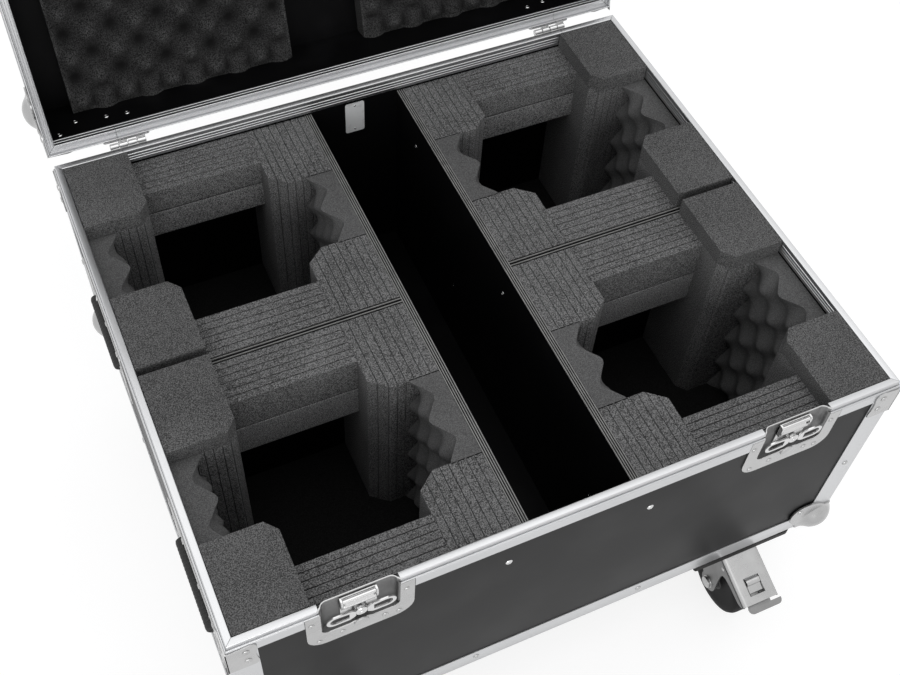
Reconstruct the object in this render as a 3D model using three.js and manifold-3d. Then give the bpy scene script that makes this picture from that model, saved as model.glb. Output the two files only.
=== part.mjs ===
// A lighting flight case on casters, shown with its lid open and its four foam nests empty.
// Lengths are millimetres. X runs to the right, Y to the back and Z up.
// The origin lies on the floor, under the middle of the case.
import * as THREE from 'three';
import { mergeVertices } from 'three/addons/utils/BufferGeometryUtils.js';
import Module from 'manifold-3d';

const wasm = await Module();
wasm.setup();

// Driving dimensions
const CASE_WIDTH = 760;
const CASE_DEPTH = 650;
const BODY_HEIGHT = 309;
const LID_HEIGHT = 104;
const LID_OPEN_DEGREES = 103;
const PLY = 7;
const SKIN = 1.5;
const FIT = 0.3;
const OVERRUN = 4;
const CASTER_HEIGHT = 128;
const BOARD_THICKNESS = 12;
const CHANNEL_WIDTH = 118;
const DIVIDER = 9;
const DIVIDER_DROP = 23;

// Sizes of each kind of piece
const RIM = { tongue: 6, leg: 18, innerLeg: 14, web: 3, groove: 1.2, grooveWidth: 2.6, grooveInset: 3 };
const EDGE = { leg: 30, braceLeg: 31, braceDrop: 4, braceLength: 44, braceSkin: 1.5 };
const BALL = { reach: 62, skin: 2, radius: 26, inset: 13.5, steps: 16 };
const LATCH = {
  inset: 133, flangeWidth: 112, flangeDrop: 76, flangeRise: 50, corner: 20, sheet: 1.2, width: 80.4,
  drop: 53.2, rise: 34, round: 8, axisDrop: 30, boss: 6.8, stand: 0.5, hookHalf: 19, hookTop: 4,
  hookBottom: 40, hookSheet: 1.5, cheek: 2, cheekDepth: 6.6, cheekBottom: 22, roll: 2.2, rollDrop: 7,
  lowRollDrop: 18, travel: 9, wingReach: 36, wingHalf: 9, wingSheet: 1.8, wingWall: 3, wingRoot: 9,
  catchHalf: 15, catchRise: 7, catchHeight: 4, catchDepth: 3, steps: 10,
};
const HINGE = {
  inset: 93, offset: 8.5, barrel: 4.2, pin: 2.2, bore: 2.35, knuckle: 11.2, knuckleGap: 0.5, knuckles: 4,
  leafHalf: 29, leaf: 2, leafHeight: 46, steps: 12,
};
const HANDLE = {
  inset: 145, drop: 148, flangeLength: 170, flangeHeight: 104, corner: 10, sheet: 1.2, bowlLength: 126,
  bowlHeight: 86, bowlCorner: 14, depth: 12, pivotRise: 30, pivotDepth: 5, gripDrop: 2, gripOut: 1.5,
  gripGap: 6, gripRadius: 7, arm: 3, armInset: 17, pin: 2.5, bore: 2.75, earLength: 7, earHalf: 5,
  steps: 10,
};
const CASTER = {
  insetX: 116, insetY: 53, boardX: 138, boardY: 106, plateX: 105, plateY: 85, plate: 3, kingpin: 6, bore: 6.3,
  race: 27, raceHeight: 5.4, crown: 3, nut: 10, nutHeight: 6, trail: 46, wheelRadius: 50, treadHalf: 16,
  treadRound: 5, hubHalf: 18, hubRadius: 13, hubBore: 6.3,
  forkHalf: 25.5, forkBack: 24, cheek: 2.5, axle: 6, axleBoss: 14, bolt: 9, boltLength: 5,
  coverFront: 112, coverBack: 50, coverBackDrop: 4, coverFrontDrop: 26, coverSkin: 2.2, windowHalf: 11,
  windowStart: 82, windowEnd: 103, tongueHalf: 9, tongueEnd: 99, steps: 20, pinSteps: 12, bossSteps: 5,
};
const PEDAL = {
  neckHalf: 16, back: 56, backDrop: 21, tabLeft: 17, tabRight: 31, tabGap: 1.2, tabDepth: 7.8, frontDrop: 37,
  skin: 2.5, tube: 4, tubeHalf: 21, pin: 2.4, corner: 7, shoeHalf: 9, shoeBack: 64, shoeFront: 74,
  shoeDrop: 29.5,
};
const FOAM = {
  postX: 78, postY: 101, chamferX: 22, chamferY: 18, capChamferX: 12, capChamferY: 14, rail: 56,
  wallRail: 75, middleRail: 100, floor: 20, pad: { base: 27, wave: 9, pitch: 52, shiftShare: 0 },
};
const LID_PAD = { inner: 50, sideInset: 45, base: 24, wave: 9, pitch: 57, shiftShare: 0.5 };
const LABEL = { width: 26, height: 50, thickness: 1, drop: 24 };
const WING_ROUND_SHARE = 0.86;
const BOSS_TURN_SHARE = 0.55;
const ARC_SEGMENTS = 2;
const BOLT_SIDES = 6;
const FORK_LOWER_SHARES = [
  [0.987, 0.397], [0.902, 0.455], [0.732, 0.385], [0.603, 0.354], [0.536, 0.436], [0.527, 0.82],
];
const FORK_REAR_SHARES = [[0.14, 0.66], [-0.12, 0.3]];
const PETAL_SHARES = [
  [0, 0], [0.68, 0], [0.71, 0.18], [0.98, 0.61], [0.95, 0.86], [0.86, 0.95], [0.61, 0.98], [0.18, 0.71],
  [0, 0.68],
];

// Planes and levels that the sizes give
const WALL = SKIN + PLY + SKIN;
const HALF_X = CASE_WIDTH / 2;
const HALF_Y = CASE_DEPTH / 2;
const CASE_BOTTOM = CASTER_HEIGHT + BOARD_THICKNESS;
const BASE_TOP = CASE_BOTTOM + SKIN + PLY;
const RIM_TOP = CASE_BOTTOM + BODY_HEIGHT;
const SHOULDER = RIM_TOP - RIM.tongue;
const PANEL_TOP = SHOULDER - SKIN;
const INSERT_TOP = RIM_TOP - DIVIDER_DROP;
const LATCH_X = HALF_X - LATCH.inset;
const HINGE_X = HALF_X - HINGE.inset;
const HANDLE_Y = HALF_Y - HANDLE.inset;
const HANDLE_Z = RIM_TOP - HANDLE.drop;
const CASTER_X = HALF_X - CASTER.insetX;
const CASTER_Y = HALF_Y - CASTER.insetY;
const INNER_X = HALF_X - SKIN - PLY;
const INNER_Y = HALF_Y - SKIN - PLY;
const LID_LOW = SHOULDER + FIT;
const LID_TOP = LID_LOW + LID_HEIGHT;
const LID_WEB = RIM_TOP + FIT;
const LID_PANEL_LOW = LID_TOP - SKIN - FIT - PLY;
const LATCH_BACK = -HALF_Y + WALL - LATCH.sheet;
const SIDES = [-1, 1];
const ordered = (a, b) => (a < b ? [a, b] : [b, a]);

const FINISH = {
  ply: { color: 0x1b1b1c, roughness: 0.45, metalness: 0 },
  aluminium: { color: 0xd4d6d8, roughness: 0.32, metalness: 1 },
  zinc: { color: 0xb9bcbe, roughness: 0.35, metalness: 1 },
  foam: { color: 0x3b3d3e, roughness: 0.95, metalness: 0 },
  rubber: { color: 0x101010, roughness: 0.7, metalness: 0 },
  wheel: { color: 0x232325, roughness: 0.6, metalness: 0 },
  label: { color: 0xe8e8e6, roughness: 0.5, metalness: 0 },
};

// A closed geometry becomes a solid once only its positions are left and shared vertices are merged
function toSolid(geometry) {
  geometry.deleteAttribute('normal');
  geometry.deleteAttribute('uv');
  const merged = mergeVertices(geometry);
  return new wasm.Manifold(new wasm.Mesh({
    numProp: 3,
    vertProperties: new Float32Array(merged.attributes.position.array),
    triVerts: new Uint32Array(merged.index.array),
  }));
}

function toGeometry(solid) {
  const data = solid.getMesh();
  const geometry = new THREE.BufferGeometry();
  geometry.setAttribute('position', new THREE.BufferAttribute(new Float32Array(data.vertProperties), 3));
  geometry.setIndex(new THREE.BufferAttribute(new Uint32Array(data.triVerts), 1));
  geometry.computeVertexNormals();
  return geometry;
}

// A named mesh of one solid, added to its group
function place(parent, name, solid, finish) {
  const mesh = new THREE.Mesh(toGeometry(solid), new THREE.MeshStandardMaterial(FINISH[finish]));
  mesh.name = name;
  parent.add(mesh);
}

// A box between two opposite corners, given in any order
function block([x0, y0, z0], [x1, y1, z1]) {
  const geometry = new THREE.BoxGeometry(Math.abs(x1 - x0), Math.abs(y1 - y0), Math.abs(z1 - z0));
  geometry.translate((x0 + x1) / 2, (y0 + y1) / 2, (z0 + z1) / 2);
  return toSolid(geometry);
}

// A bar along one axis between two stations; the other two coordinates follow in order
function rod(axis, radius, from, to, [a, b], steps) {
  const geometry = new THREE.CylinderGeometry(radius, radius, to - from, steps);
  const middle = (from + to) / 2;
  if (axis === 'x') {
    geometry.rotateZ(-Math.PI / 2);
    geometry.translate(middle, a, b);
  } else if (axis === 'y') {
    geometry.translate(a, middle, b);
  } else {
    geometry.rotateX(Math.PI / 2);
    geometry.translate(a, b, middle);
  }
  return toSolid(geometry);
}

// A flat outline extruded along one axis; its points are (Y, Z) for x, (X, Z) for y and (X, Y) for z
function slab(axis, outline, from, to) {
  const toShape = (points) => new THREE.Shape(points.map(([a, b]) => new THREE.Vector2(a, b)));
  const shape = Array.isArray(outline) ? toShape(outline) : outline;
  const settings = { depth: to - from, bevelEnabled: false, curveSegments: ARC_SEGMENTS };
  const geometry = new THREE.ExtrudeGeometry(shape, settings);
  if (axis === 'x') {
    geometry.applyMatrix4(new THREE.Matrix4().set(0, 0, 1, from, 1, 0, 0, 0, 0, 1, 0, 0, 0, 0, 0, 1));
  } else if (axis === 'y') {
    geometry.translate(0, 0, -to);
    geometry.rotateX(Math.PI / 2);
  } else {
    geometry.translate(0, 0, from);
  }
  return toSolid(geometry);
}

// A rectangle between two corners with one radius for each corner: low left, low right, top right, top left
function rounded([a0, b0], [a1, b1], [lowLeft, lowRight, topRight, topLeft]) {
  const shape = new THREE.Shape();
  const quarter = Math.PI / 2;
  shape.moveTo(a0 + lowLeft, b0);
  shape.lineTo(a1 - lowRight, b0);
  if (lowRight) shape.absarc(a1 - lowRight, b0 + lowRight, lowRight, -quarter, 0, false);
  shape.lineTo(a1, b1 - topRight);
  if (topRight) shape.absarc(a1 - topRight, b1 - topRight, topRight, 0, quarter, false);
  shape.lineTo(a0 + topLeft, b1);
  if (topLeft) shape.absarc(a0 + topLeft, b1 - topLeft, topLeft, quarter, Math.PI, false);
  shape.lineTo(a0, b0 + lowLeft);
  if (lowLeft) shape.absarc(a0 + lowLeft, b0 + lowLeft, lowLeft, Math.PI, Math.PI + quarter, false);
  return shape;
}

// A rectangular ring of the case's plan between two insets from its outer faces and two heights
function ring(outset, inset, low, high) {
  const outer = block([-HALF_X + outset, -HALF_Y + outset, low], [HALF_X - outset, HALF_Y - outset, high]);
  const inner = block(
    [-HALF_X + inset, -HALF_Y + inset, low - OVERRUN],
    [HALF_X - inset, HALF_Y - inset, high + OVERRUN],
  );
  return outer.subtract(inner);
}

// Two upright plates that meet at one corner of the case; 'outset' is how far they stand out of its faces
function cornerPlates(sideX, sideY, outset, skin, leg, low, high) {
  const faceX = sideX * (HALF_X + outset);
  const faceY = sideY * (HALF_Y + outset);
  return block([faceX, faceY, low], [faceX - sideX * leg, faceY - sideY * skin, high])
    .add(block([faceX, faceY, low], [faceX - sideX * skin, faceY - sideY * leg, high]));
}

// The room that a latch dish needs in the front wall and the rims
function latchRoom(x) {
  const half = LATCH.width / 2 + FIT;
  return block(
    [x - half, -HALF_Y - OVERRUN, RIM_TOP - LATCH.drop - FIT],
    [x + half, -HALF_Y + WALL + FIT, RIM_TOP + LATCH.rise + FIT],
  );
}

// The room that a handle's bowl needs, from 'depthX' out to the case's face
function bowlRoom(side, end, depthX) {
  const halfY = HANDLE.bowlLength / 2 + FIT;
  const halfZ = HANDLE.bowlHeight / 2 + FIT;
  return block(
    [side * depthX, end * HANDLE_Y - halfY, HANDLE_Z - halfZ],
    [side * HALF_X, end * HANDLE_Y + halfY, HANDLE_Z + halfZ],
  );
}

// The room that a latch flange needs in the outer legs of both rims
function flangeRoom(x) {
  const half = LATCH.flangeWidth / 2 + FIT;
  return block(
    [x - half, -HALF_Y - OVERRUN, PANEL_TOP - RIM.leg],
    [x + half, -HALF_Y + SKIN + FIT / 2, PANEL_TOP],
  ).add(block(
    [x - half, -HALF_Y - OVERRUN, LID_LOW + FIT],
    [x + half, -HALF_Y + SKIN + FIT / 2, LID_LOW + RIM.leg + FIT],
  ));
}

const group = new THREE.Group();
const lidHinge = new THREE.Group();
const lid = new THREE.Group();
lidHinge.position.set(0, HALF_Y + HINGE.offset, SHOULDER);
lidHinge.rotation.x = -LID_OPEN_DEGREES * Math.PI / 180;
lid.position.copy(lidHinge.position).negate();
lidHinge.add(lid);
group.add(lidHinge);

// Black laminated plywood panels of the body; the walls stand on the base
function bodyPanels() {
  const plyX = HALF_X - SKIN;
  const plyY = HALF_Y - SKIN;
  place(group, 'base_panel', block([-plyX, -plyY, CASE_BOTTOM + SKIN], [plyX, plyY, BASE_TOP]), 'ply');
  let front = block([-plyX, -plyY, BASE_TOP], [plyX, -INNER_Y, PANEL_TOP]);
  for (const side of SIDES) {
    front = front.subtract(latchRoom(side * LATCH_X));
  }
  place(group, 'front_panel', front, 'ply');
  place(group, 'rear_panel', block([-plyX, INNER_Y, BASE_TOP], [plyX, plyY, PANEL_TOP]), 'ply');
  for (const side of SIDES) {
    let panel = block([side * INNER_X, -INNER_Y, BASE_TOP], [side * plyX, INNER_Y, PANEL_TOP]);
    for (const end of SIDES) {
      panel = panel.subtract(bowlRoom(side, end, INNER_X - OVERRUN));
    }
    place(group, side < 0 ? 'left_panel' : 'right_panel', panel, 'ply');
  }
}

// Two long dividers leave the middle channel; each is glued to the short partition of its side
function partitions() {
  for (const side of SIDES) {
    const near = side * CHANNEL_WIDTH / 2;
    const long = block([near, -INNER_Y, BASE_TOP], [near + side * DIVIDER, INNER_Y, INSERT_TOP]);
    const short = block([near, -DIVIDER / 2, BASE_TOP], [side * INNER_X, DIVIDER / 2, INSERT_TOP]);
    place(group, side < 0 ? 'partition_left' : 'partition_right', long.add(short), 'ply');
  }
}

// A bare plate on the rear wall of the middle channel
function labelPlate() {
  const top = RIM_TOP - LABEL.drop;
  const plate = block(
    [-LABEL.width / 2, INNER_Y - LABEL.thickness, top - LABEL.height],
    [LABEL.width / 2, INNER_Y, top],
  );
  place(group, 'label_plate', plate, 'label');
}

// Cuts a rim where the two latches stand, which frees its front middle length
function placeRim(parent, whole, name) {
  let rim = whole;
  for (const side of SIDES) {
    rim = rim.subtract(latchRoom(side * LATCH_X)).subtract(flangeRoom(side * LATCH_X));
  }
  const middle = block([-LATCH_X, -HALF_Y - OVERRUN, SHOULDER - HALF_Y], [LATCH_X, 0, SHOULDER + HALF_Y]);
  place(parent, name, rim.subtract(middle), 'aluminium');
  place(parent, name + '_front', rim.intersect(middle), 'aluminium');
}

// Body rim: a tongue on top, a shoulder, an outer leg and a shorter inner leg over the plywood
function bodyRim() {
  const rim = ring(SKIN + FIT, WALL, PANEL_TOP, RIM_TOP)
    .add(ring(0, WALL, PANEL_TOP, SHOULDER))
    .add(ring(0, SKIN, SHOULDER - RIM.leg, SHOULDER))
    .add(ring(WALL - SKIN, WALL, SHOULDER - RIM.innerLeg, SHOULDER));
  placeRim(group, rim, 'body_rim');
}

// Lid rim: its outer leg reaches down past the tongue, and its grooved web lies over the tongue
function lidRim() {
  const grooveEnd = RIM.grooveInset + RIM.grooveWidth;
  const rim = ring(0, SKIN, LID_LOW, LID_LOW + RIM.leg)
    .add(ring(0, WALL, LID_WEB, LID_WEB + RIM.web))
    .add(ring(WALL - SKIN, WALL, LID_WEB, LID_WEB + RIM.innerLeg))
    .subtract(ring(RIM.grooveInset, grooveEnd, LID_WEB - OVERRUN, LID_WEB + RIM.groove));
  placeRim(lid, rim, 'lid_rim');
}

// Aluminium angles round the bottom and up the corners, with the rim's corner braces riveted on
function bodyEdges() {
  let frame = ring(0, SKIN, CASE_BOTTOM, CASE_BOTTOM + EDGE.leg)
    .add(ring(0, EDGE.leg, CASE_BOTTOM, CASE_BOTTOM + SKIN));
  const braceTop = SHOULDER - EDGE.braceDrop;
  for (const sideX of SIDES) {
    for (const sideY of SIDES) {
      const upright = cornerPlates(sideX, sideY, 0, SKIN, EDGE.leg, CASE_BOTTOM, SHOULDER - RIM.leg);
      const brace = cornerPlates(
        sideX, sideY, EDGE.braceSkin, EDGE.braceSkin, EDGE.braceLeg, braceTop - EDGE.braceLength, braceTop,
      );
      frame = frame.add(upright).add(brace);
    }
  }
  place(group, 'body_edge_frame', frame, 'aluminium');
}

// A steel corner: a round ball and a petal on each of three faces; 'up' is 1 on the lid, -1 under the body
function ballCorner(sideX, sideY, up, level) {
  const signs = [sideX, sideY, up];
  const inner = [sideX * HALF_X, sideY * HALF_Y, level];
  const outer = inner.map((at, index) => at + signs[index] * BALL.skin);
  const ball = new THREE.SphereGeometry(BALL.radius, BALL.steps, BALL.steps / 2);
  ball.translate(...inner.map((at, index) => at - signs[index] * BALL.inset));
  let corner = toSolid(ball);
  ['x', 'y', 'z'].forEach((axis, index) => {
    const [a, b] = [0, 1, 2].filter((other) => other !== index);
    const petal = PETAL_SHARES.map(([alongA, alongB]) => [
      outer[a] - signs[a] * alongA * BALL.reach, outer[b] - signs[b] * alongB * BALL.reach,
    ]);
    corner = corner.add(slab(axis, petal, ...ordered(inner[index], outer[index])));
  });
  return corner.subtract(block(inner, inner.map((at, index) => at - signs[index] * HALF_Y)));
}

// The four bottom corners, cut clear of the caster boards
function bottomCorners() {
  for (const sideX of SIDES) {
    for (const sideY of SIDES) {
      const roomX = CASTER.boardX / 2 + FIT;
      const roomY = CASTER.boardY / 2 + FIT;
      const board = block(
        [sideX * CASTER_X - roomX, sideY * CASTER_Y - roomY, CASTER_HEIGHT],
        [sideX * CASTER_X + roomX, sideY * CASTER_Y + roomY, CASE_BOTTOM],
      );
      const corner = ballCorner(sideX, sideY, -1, CASE_BOTTOM).subtract(board);
      place(group, `ball_corner_${cornerName(sideX, sideY)}`, corner, 'zinc');
    }
  }
}

function cornerName(sideX, sideY) {
  return (sideY < 0 ? 'front_' : 'rear_') + (sideX < 0 ? 'left' : 'right');
}

// Lid panels, each a clearance away from its neighbours
function lidPanels() {
  const plyX = HALF_X - SKIN - FIT;
  const plyY = HALF_Y - SKIN - FIT;
  place(lid, 'lid_top_panel', block([-plyX, -plyY, LID_PANEL_LOW], [plyX, plyY, LID_PANEL_LOW + PLY]), 'ply');
  let walls = ring(SKIN + FIT, SKIN + PLY - FIT, LID_WEB + RIM.web + FIT, LID_PANEL_LOW - FIT);
  for (const side of SIDES) {
    walls = walls.subtract(latchRoom(side * LATCH_X));
  }
  place(lid, 'lid_walls', walls, 'ply');
}

// The lid's angles, its four ball corners and the rim's corner braces, riveted into one frame
function lidEdges() {
  let frame = ring(0, SKIN, LID_TOP - EDGE.leg, LID_TOP).add(ring(0, EDGE.leg, LID_TOP - SKIN, LID_TOP));
  const joint = LID_LOW + RIM.leg + FIT;
  const braceLow = LID_LOW + EDGE.braceDrop;
  const braceOut = FIT + EDGE.braceSkin;
  for (const sideX of SIDES) {
    for (const sideY of SIDES) {
      const brace = (skin, low, high) => cornerPlates(sideX, sideY, braceOut, skin, EDGE.braceLeg, low, high);
      frame = frame.add(cornerPlates(sideX, sideY, 0, SKIN, EDGE.leg, joint, LID_TOP))
        .add(brace(EDGE.braceSkin, braceLow, joint))
        .add(brace(braceOut, joint, braceLow + EDGE.braceLength))
        .add(ballCorner(sideX, sideY, 1, LID_TOP));
    }
  }
  place(lid, 'lid_edge_frame', frame, 'aluminium');
}

// A slab of foam with an egg-tray face: peaks and dips alternate on a grid of half waves, either on the
// corners of its cells or, shifted by half a cell, in their middles; 'locate' turns U, V and height to a place
function wavySlab(sizeU, sizeV, { base, wave, pitch, shiftShare }, locate) {
  const points = [];
  const faces = [];
  const [cellsU, cellsV] = [sizeU, sizeV].map((size) => Math.round(size / (pitch / 2)));
  const swing = (at) => Math.cos(Math.PI * (at - shiftShare));
  const addPoint = (i, j, height) => {
    points.push(...locate(sizeU * i / cellsU, sizeV * j / cellsV, height));
    return points.length / 3 - 1;
  };
  const addFacePoint = (i, j) => addPoint(i, j, base + wave * swing(i) * swing(j));
  const front = (i, j) => j * (cellsU + 1) + i;
  for (let j = 0; j <= cellsV; j += 1) {
    for (let i = 0; i <= cellsU; i += 1) {
      addFacePoint(i, j);
    }
  }
  for (let j = 0; j < cellsV; j += 1) {
    for (let i = 0; i < cellsU; i += 1) {
      const middle = addFacePoint(i + 1 / 2, j + 1 / 2);
      const corners = [front(i, j), front(i + 1, j), front(i + 1, j + 1), front(i, j + 1)];
      corners.forEach((corner, index) => faces.push(corner, corners[(index + 1) % 4], middle));
    }
  }
  const border = [];
  for (let i = 0; i < cellsU; i += 1) border.push([i, 0]);
  for (let j = 0; j < cellsV; j += 1) border.push([cellsU, j]);
  for (let i = cellsU; i > 0; i -= 1) border.push([i, cellsV]);
  for (let j = cellsV; j > 0; j -= 1) border.push([0, j]);
  const back = border.map(([i, j]) => addPoint(i, j, 0));
  const backMiddle = addPoint(cellsU / 2, cellsV / 2, 0);
  border.forEach(([i, j], index) => {
    const next = (index + 1) % border.length;
    const [topA, topB] = [front(i, j), front(...border[next])];
    faces.push(topA, back[index], back[next], topA, back[next], topB, backMiddle, back[next], back[index]);
  });
  const [origin, alongU, alongV, alongW] = [[0, 0, 0], [1, 0, 0], [0, 1, 0], [0, 0, 1]]
    .map((at) => new THREE.Vector3(...locate(...at)));
  const handed = alongU.sub(origin).cross(alongV.sub(origin)).dot(alongW.sub(origin));
  if (handed < 0) faces.reverse();
  const geometry = new THREE.BufferGeometry();
  geometry.setAttribute('position', new THREE.BufferAttribute(new Float32Array(points), 3));
  geometry.setIndex(faces);
  return toSolid(geometry);
}

// An upright foam post in one corner of a nest, with the corner towards the nest's middle cut off
function post([x0, y0], [x1, y1], [chamferX, chamferY], low, high) {
  const cutX = x1 - Math.sign(x1 - x0) * chamferX;
  const cutY = y1 - Math.sign(y1 - y0) * chamferY;
  return slab('z', [[x0, y0], [x1, y0], [x1, cutY], [cutX, y1], [x0, y1]], low, high);
}

// One nest: a floor pad, four corner posts, a rail across each end and a wavy pad on both long sides
function foamNest(sideX, sideY) {
  const innerX = sideX * (CHANNEL_WIDTH / 2 + DIVIDER + FIT);
  const outerX = sideX * (INNER_X - FIT);
  const capX = sideX * (HALF_X - WALL - FIT);
  const midY = sideY * (DIVIDER / 2 + FIT);
  const endY = sideY * (INNER_Y - FIT);
  const capEndY = sideY * (HALF_Y - WALL - FIT);
  const low = BASE_TOP + FIT;
  const floorTop = low + FOAM.floor;
  const postTop = INSERT_TOP;
  let nest = block([innerX, midY, low], [outerX, endY, floorTop]);
  const bite = OVERRUN / 2;
  const ends = [[midY, midY, sideY, FOAM.middleRail], [endY, capEndY, -sideY, FOAM.wallRail]];
  for (const [fromY, capY, toward, railHeight] of ends) {
    const postEnd = fromY + toward * FOAM.postY;
    const railEnd = fromY + toward * FOAM.rail;
    const innerPost = innerX + sideX * FOAM.postX;
    const outerPost = outerX - sideX * FOAM.postX;
    const railFrom = [innerPost - sideX * bite, fromY, postTop - railHeight];
    const inner = [FOAM.chamferX, FOAM.chamferY];
    const outer = [FOAM.capChamferX, FOAM.capChamferY];
    nest = nest
      .add(post([innerX, fromY], [innerPost, postEnd], inner, floorTop - bite, postTop))
      .add(post([outerX, fromY], [outerPost, postEnd], outer, floorTop - bite, postTop))
      .add(post([capX, capY], [outerPost, postEnd], outer, postTop - bite, RIM_TOP))
      .add(block(railFrom, [outerPost + sideX * bite, railEnd, postTop]));
  }
  const padY = midY + sideY * (FOAM.postY - bite);
  const padLength = Math.abs(endY - midY) - 2 * (FOAM.postY - bite);
  const padHeight = postTop - floorTop + bite;
  for (const [wall, toward] of [[innerX, sideX], [outerX, -sideX]]) {
    const locate = (u, v, height) => [wall + toward * height, padY + sideY * u, floorTop - bite + v];
    nest = nest.add(wavySlab(padLength, padHeight, FOAM.pad, locate));
  }
  const bowlFace = HALF_X - SKIN - HANDLE.depth - HANDLE.sheet - FIT;
  nest = nest.subtract(bowlRoom(sideX, sideY, bowlFace));
  if (sideY < 0) {
    nest = nest.subtract(latchRoom(sideX * LATCH_X));
  }
  place(group, `foam_nest_${cornerName(sideX, sideY)}`, nest, 'foam');
}

// The two wavy foam pads glued inside the lid's top
function lidPads() {
  for (const side of SIDES) {
    const locate = (u, v, height) => [side * (LID_PAD.inner + u), v - INNER_Y, LID_PANEL_LOW - FIT - height];
    const pad = wavySlab(HALF_X - LID_PAD.sideInset - LID_PAD.inner, 2 * INNER_Y, LID_PAD, locate);
    place(lid, side < 0 ? 'lid_pad_left' : 'lid_pad_right', pad, 'foam');
  }
}

// A hinge: each leaf carries every second knuckle, and the lid's leaf carries the pin
function hinge(x, label) {
  const axisY = HALF_Y + HINGE.offset;
  const span = HINGE.knuckle * HINGE.knuckles;
  const bored = (side) => {
    const plateFrom = HALF_Y + (side > 0 ? FIT : 0);
    const plateLow = SHOULDER + side * (HINGE.barrel - HINGE.leaf);
    let leaf = block(
      [x - HINGE.leafHalf, plateFrom, plateLow],
      [x + HINGE.leafHalf, plateFrom + HINGE.leaf, SHOULDER + side * HINGE.leafHeight],
    );
    for (let index = side > 0 ? 1 : 0; index < HINGE.knuckles; index += 2) {
      const from = x - span / 2 + index * HINGE.knuckle + HINGE.knuckleGap / 2;
      const to = from + HINGE.knuckle - HINGE.knuckleGap;
      leaf = leaf
        .add(block([from, plateFrom, plateLow], [to, axisY, SHOULDER + side * HINGE.barrel]))
        .add(rod('x', HINGE.barrel, from, to, [axisY, SHOULDER], HINGE.steps));
    }
    return leaf;
  };
  const hole = rod('x', HINGE.bore, x - span, x + span, [axisY, SHOULDER], HINGE.steps);
  const pin = rod('x', HINGE.pin, x - span / 2, x + span / 2, [axisY, SHOULDER], HINGE.steps);
  place(group, `hinge_leaf_body_${label}`, bored(-1).subtract(hole), 'zinc');
  place(lid, `hinge_leaf_lid_${label}`, bored(1).add(pin), 'zinc');
}

// One latch dish: a flange on the front face and a shallow bowl that is open towards the other half
function latchDish(x, up) {
  const flangeFar = up > 0 ? LATCH.flangeRise : -LATCH.flangeDrop;
  const bowlFar = up > 0 ? LATCH.rise : -LATCH.drop;
  const half = LATCH.flangeWidth / 2;
  const flangeNear = up > 0 ? LID_LOW + 2 * FIT : PANEL_TOP - FIT;
  const radii = up > 0 ? [0, 0, LATCH.corner, LATCH.corner] : [LATCH.corner, LATCH.corner, 0, 0];
  const [flangeLow, flangeHigh] = ordered(flangeNear, RIM_TOP + flangeFar);
  const outline = rounded([x - half, flangeLow], [x + half, flangeHigh], radii);
  const flange = slab('y', outline, -HALF_Y, -HALF_Y + SKIN);
  const bowlNear = up > 0 ? LID_WEB : RIM_TOP;
  const [bowlLow, bowlHigh] = ordered(bowlNear, RIM_TOP + bowlFar);
  const plan = (bowlHalf, front, back, round) => (
    rounded([x - bowlHalf, front], [x + bowlHalf, back], [0, 0, round, round])
  );
  const bowl = slab('z', plan(LATCH.width / 2, -HALF_Y, -HALF_Y + WALL, LATCH.round), bowlLow, bowlHigh);
  const hollow = slab(
    'z',
    plan(LATCH.width / 2 - LATCH.sheet, -HALF_Y - OVERRUN, LATCH_BACK, LATCH.round - LATCH.sheet),
    up > 0 ? bowlLow - OVERRUN : bowlLow + LATCH.sheet,
    up > 0 ? bowlHigh - LATCH.sheet : bowlHigh + OVERRUN,
  );
  const dish = flange.add(bowl).subtract(hollow);
  if (up > 0) {
    return dish;
  }
  return dish.subtract(block(
    [x - half, -HALF_Y - OVERRUN, SHOULDER],
    [x + half, -HALF_Y + SKIN + FIT, RIM_TOP + OVERRUN],
  ));
}

// The butterfly key: a boss on the latch's axis with a looped wing to each side
function latchKey(x) {
  const axisZ = RIM_TOP - LATCH.axisDrop;
  const wingBack = -HALF_Y - FIT;
  const wing = rounded(
    [x - LATCH.wingReach, axisZ - LATCH.wingHalf], [x + LATCH.wingReach, axisZ + LATCH.wingHalf],
    new Array(4).fill(LATCH.wingHalf * WING_ROUND_SHARE),
  );
  let key = slab('y', wing, wingBack - LATCH.wingSheet, wingBack)
    .add(rod('y', LATCH.boss, wingBack - LATCH.wingSheet, LATCH_BACK - FIT, [x, axisZ], LATCH.steps));
  for (const side of SIDES) {
    const [near, far] = ordered(side * LATCH.wingRoot, side * (LATCH.wingReach - LATCH.wingWall));
    const radius = (LATCH.wingHalf - LATCH.wingWall) * WING_ROUND_SHARE;
    const eye = rounded(
      [x + near, axisZ - LATCH.wingHalf + LATCH.wingWall], [x + far, axisZ + LATCH.wingHalf - LATCH.wingWall],
      new Array(4).fill(radius),
    );
    key = key.subtract(slab('y', eye, wingBack - LATCH.wingSheet - OVERRUN, wingBack + FIT));
  }
  return key;
}

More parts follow.
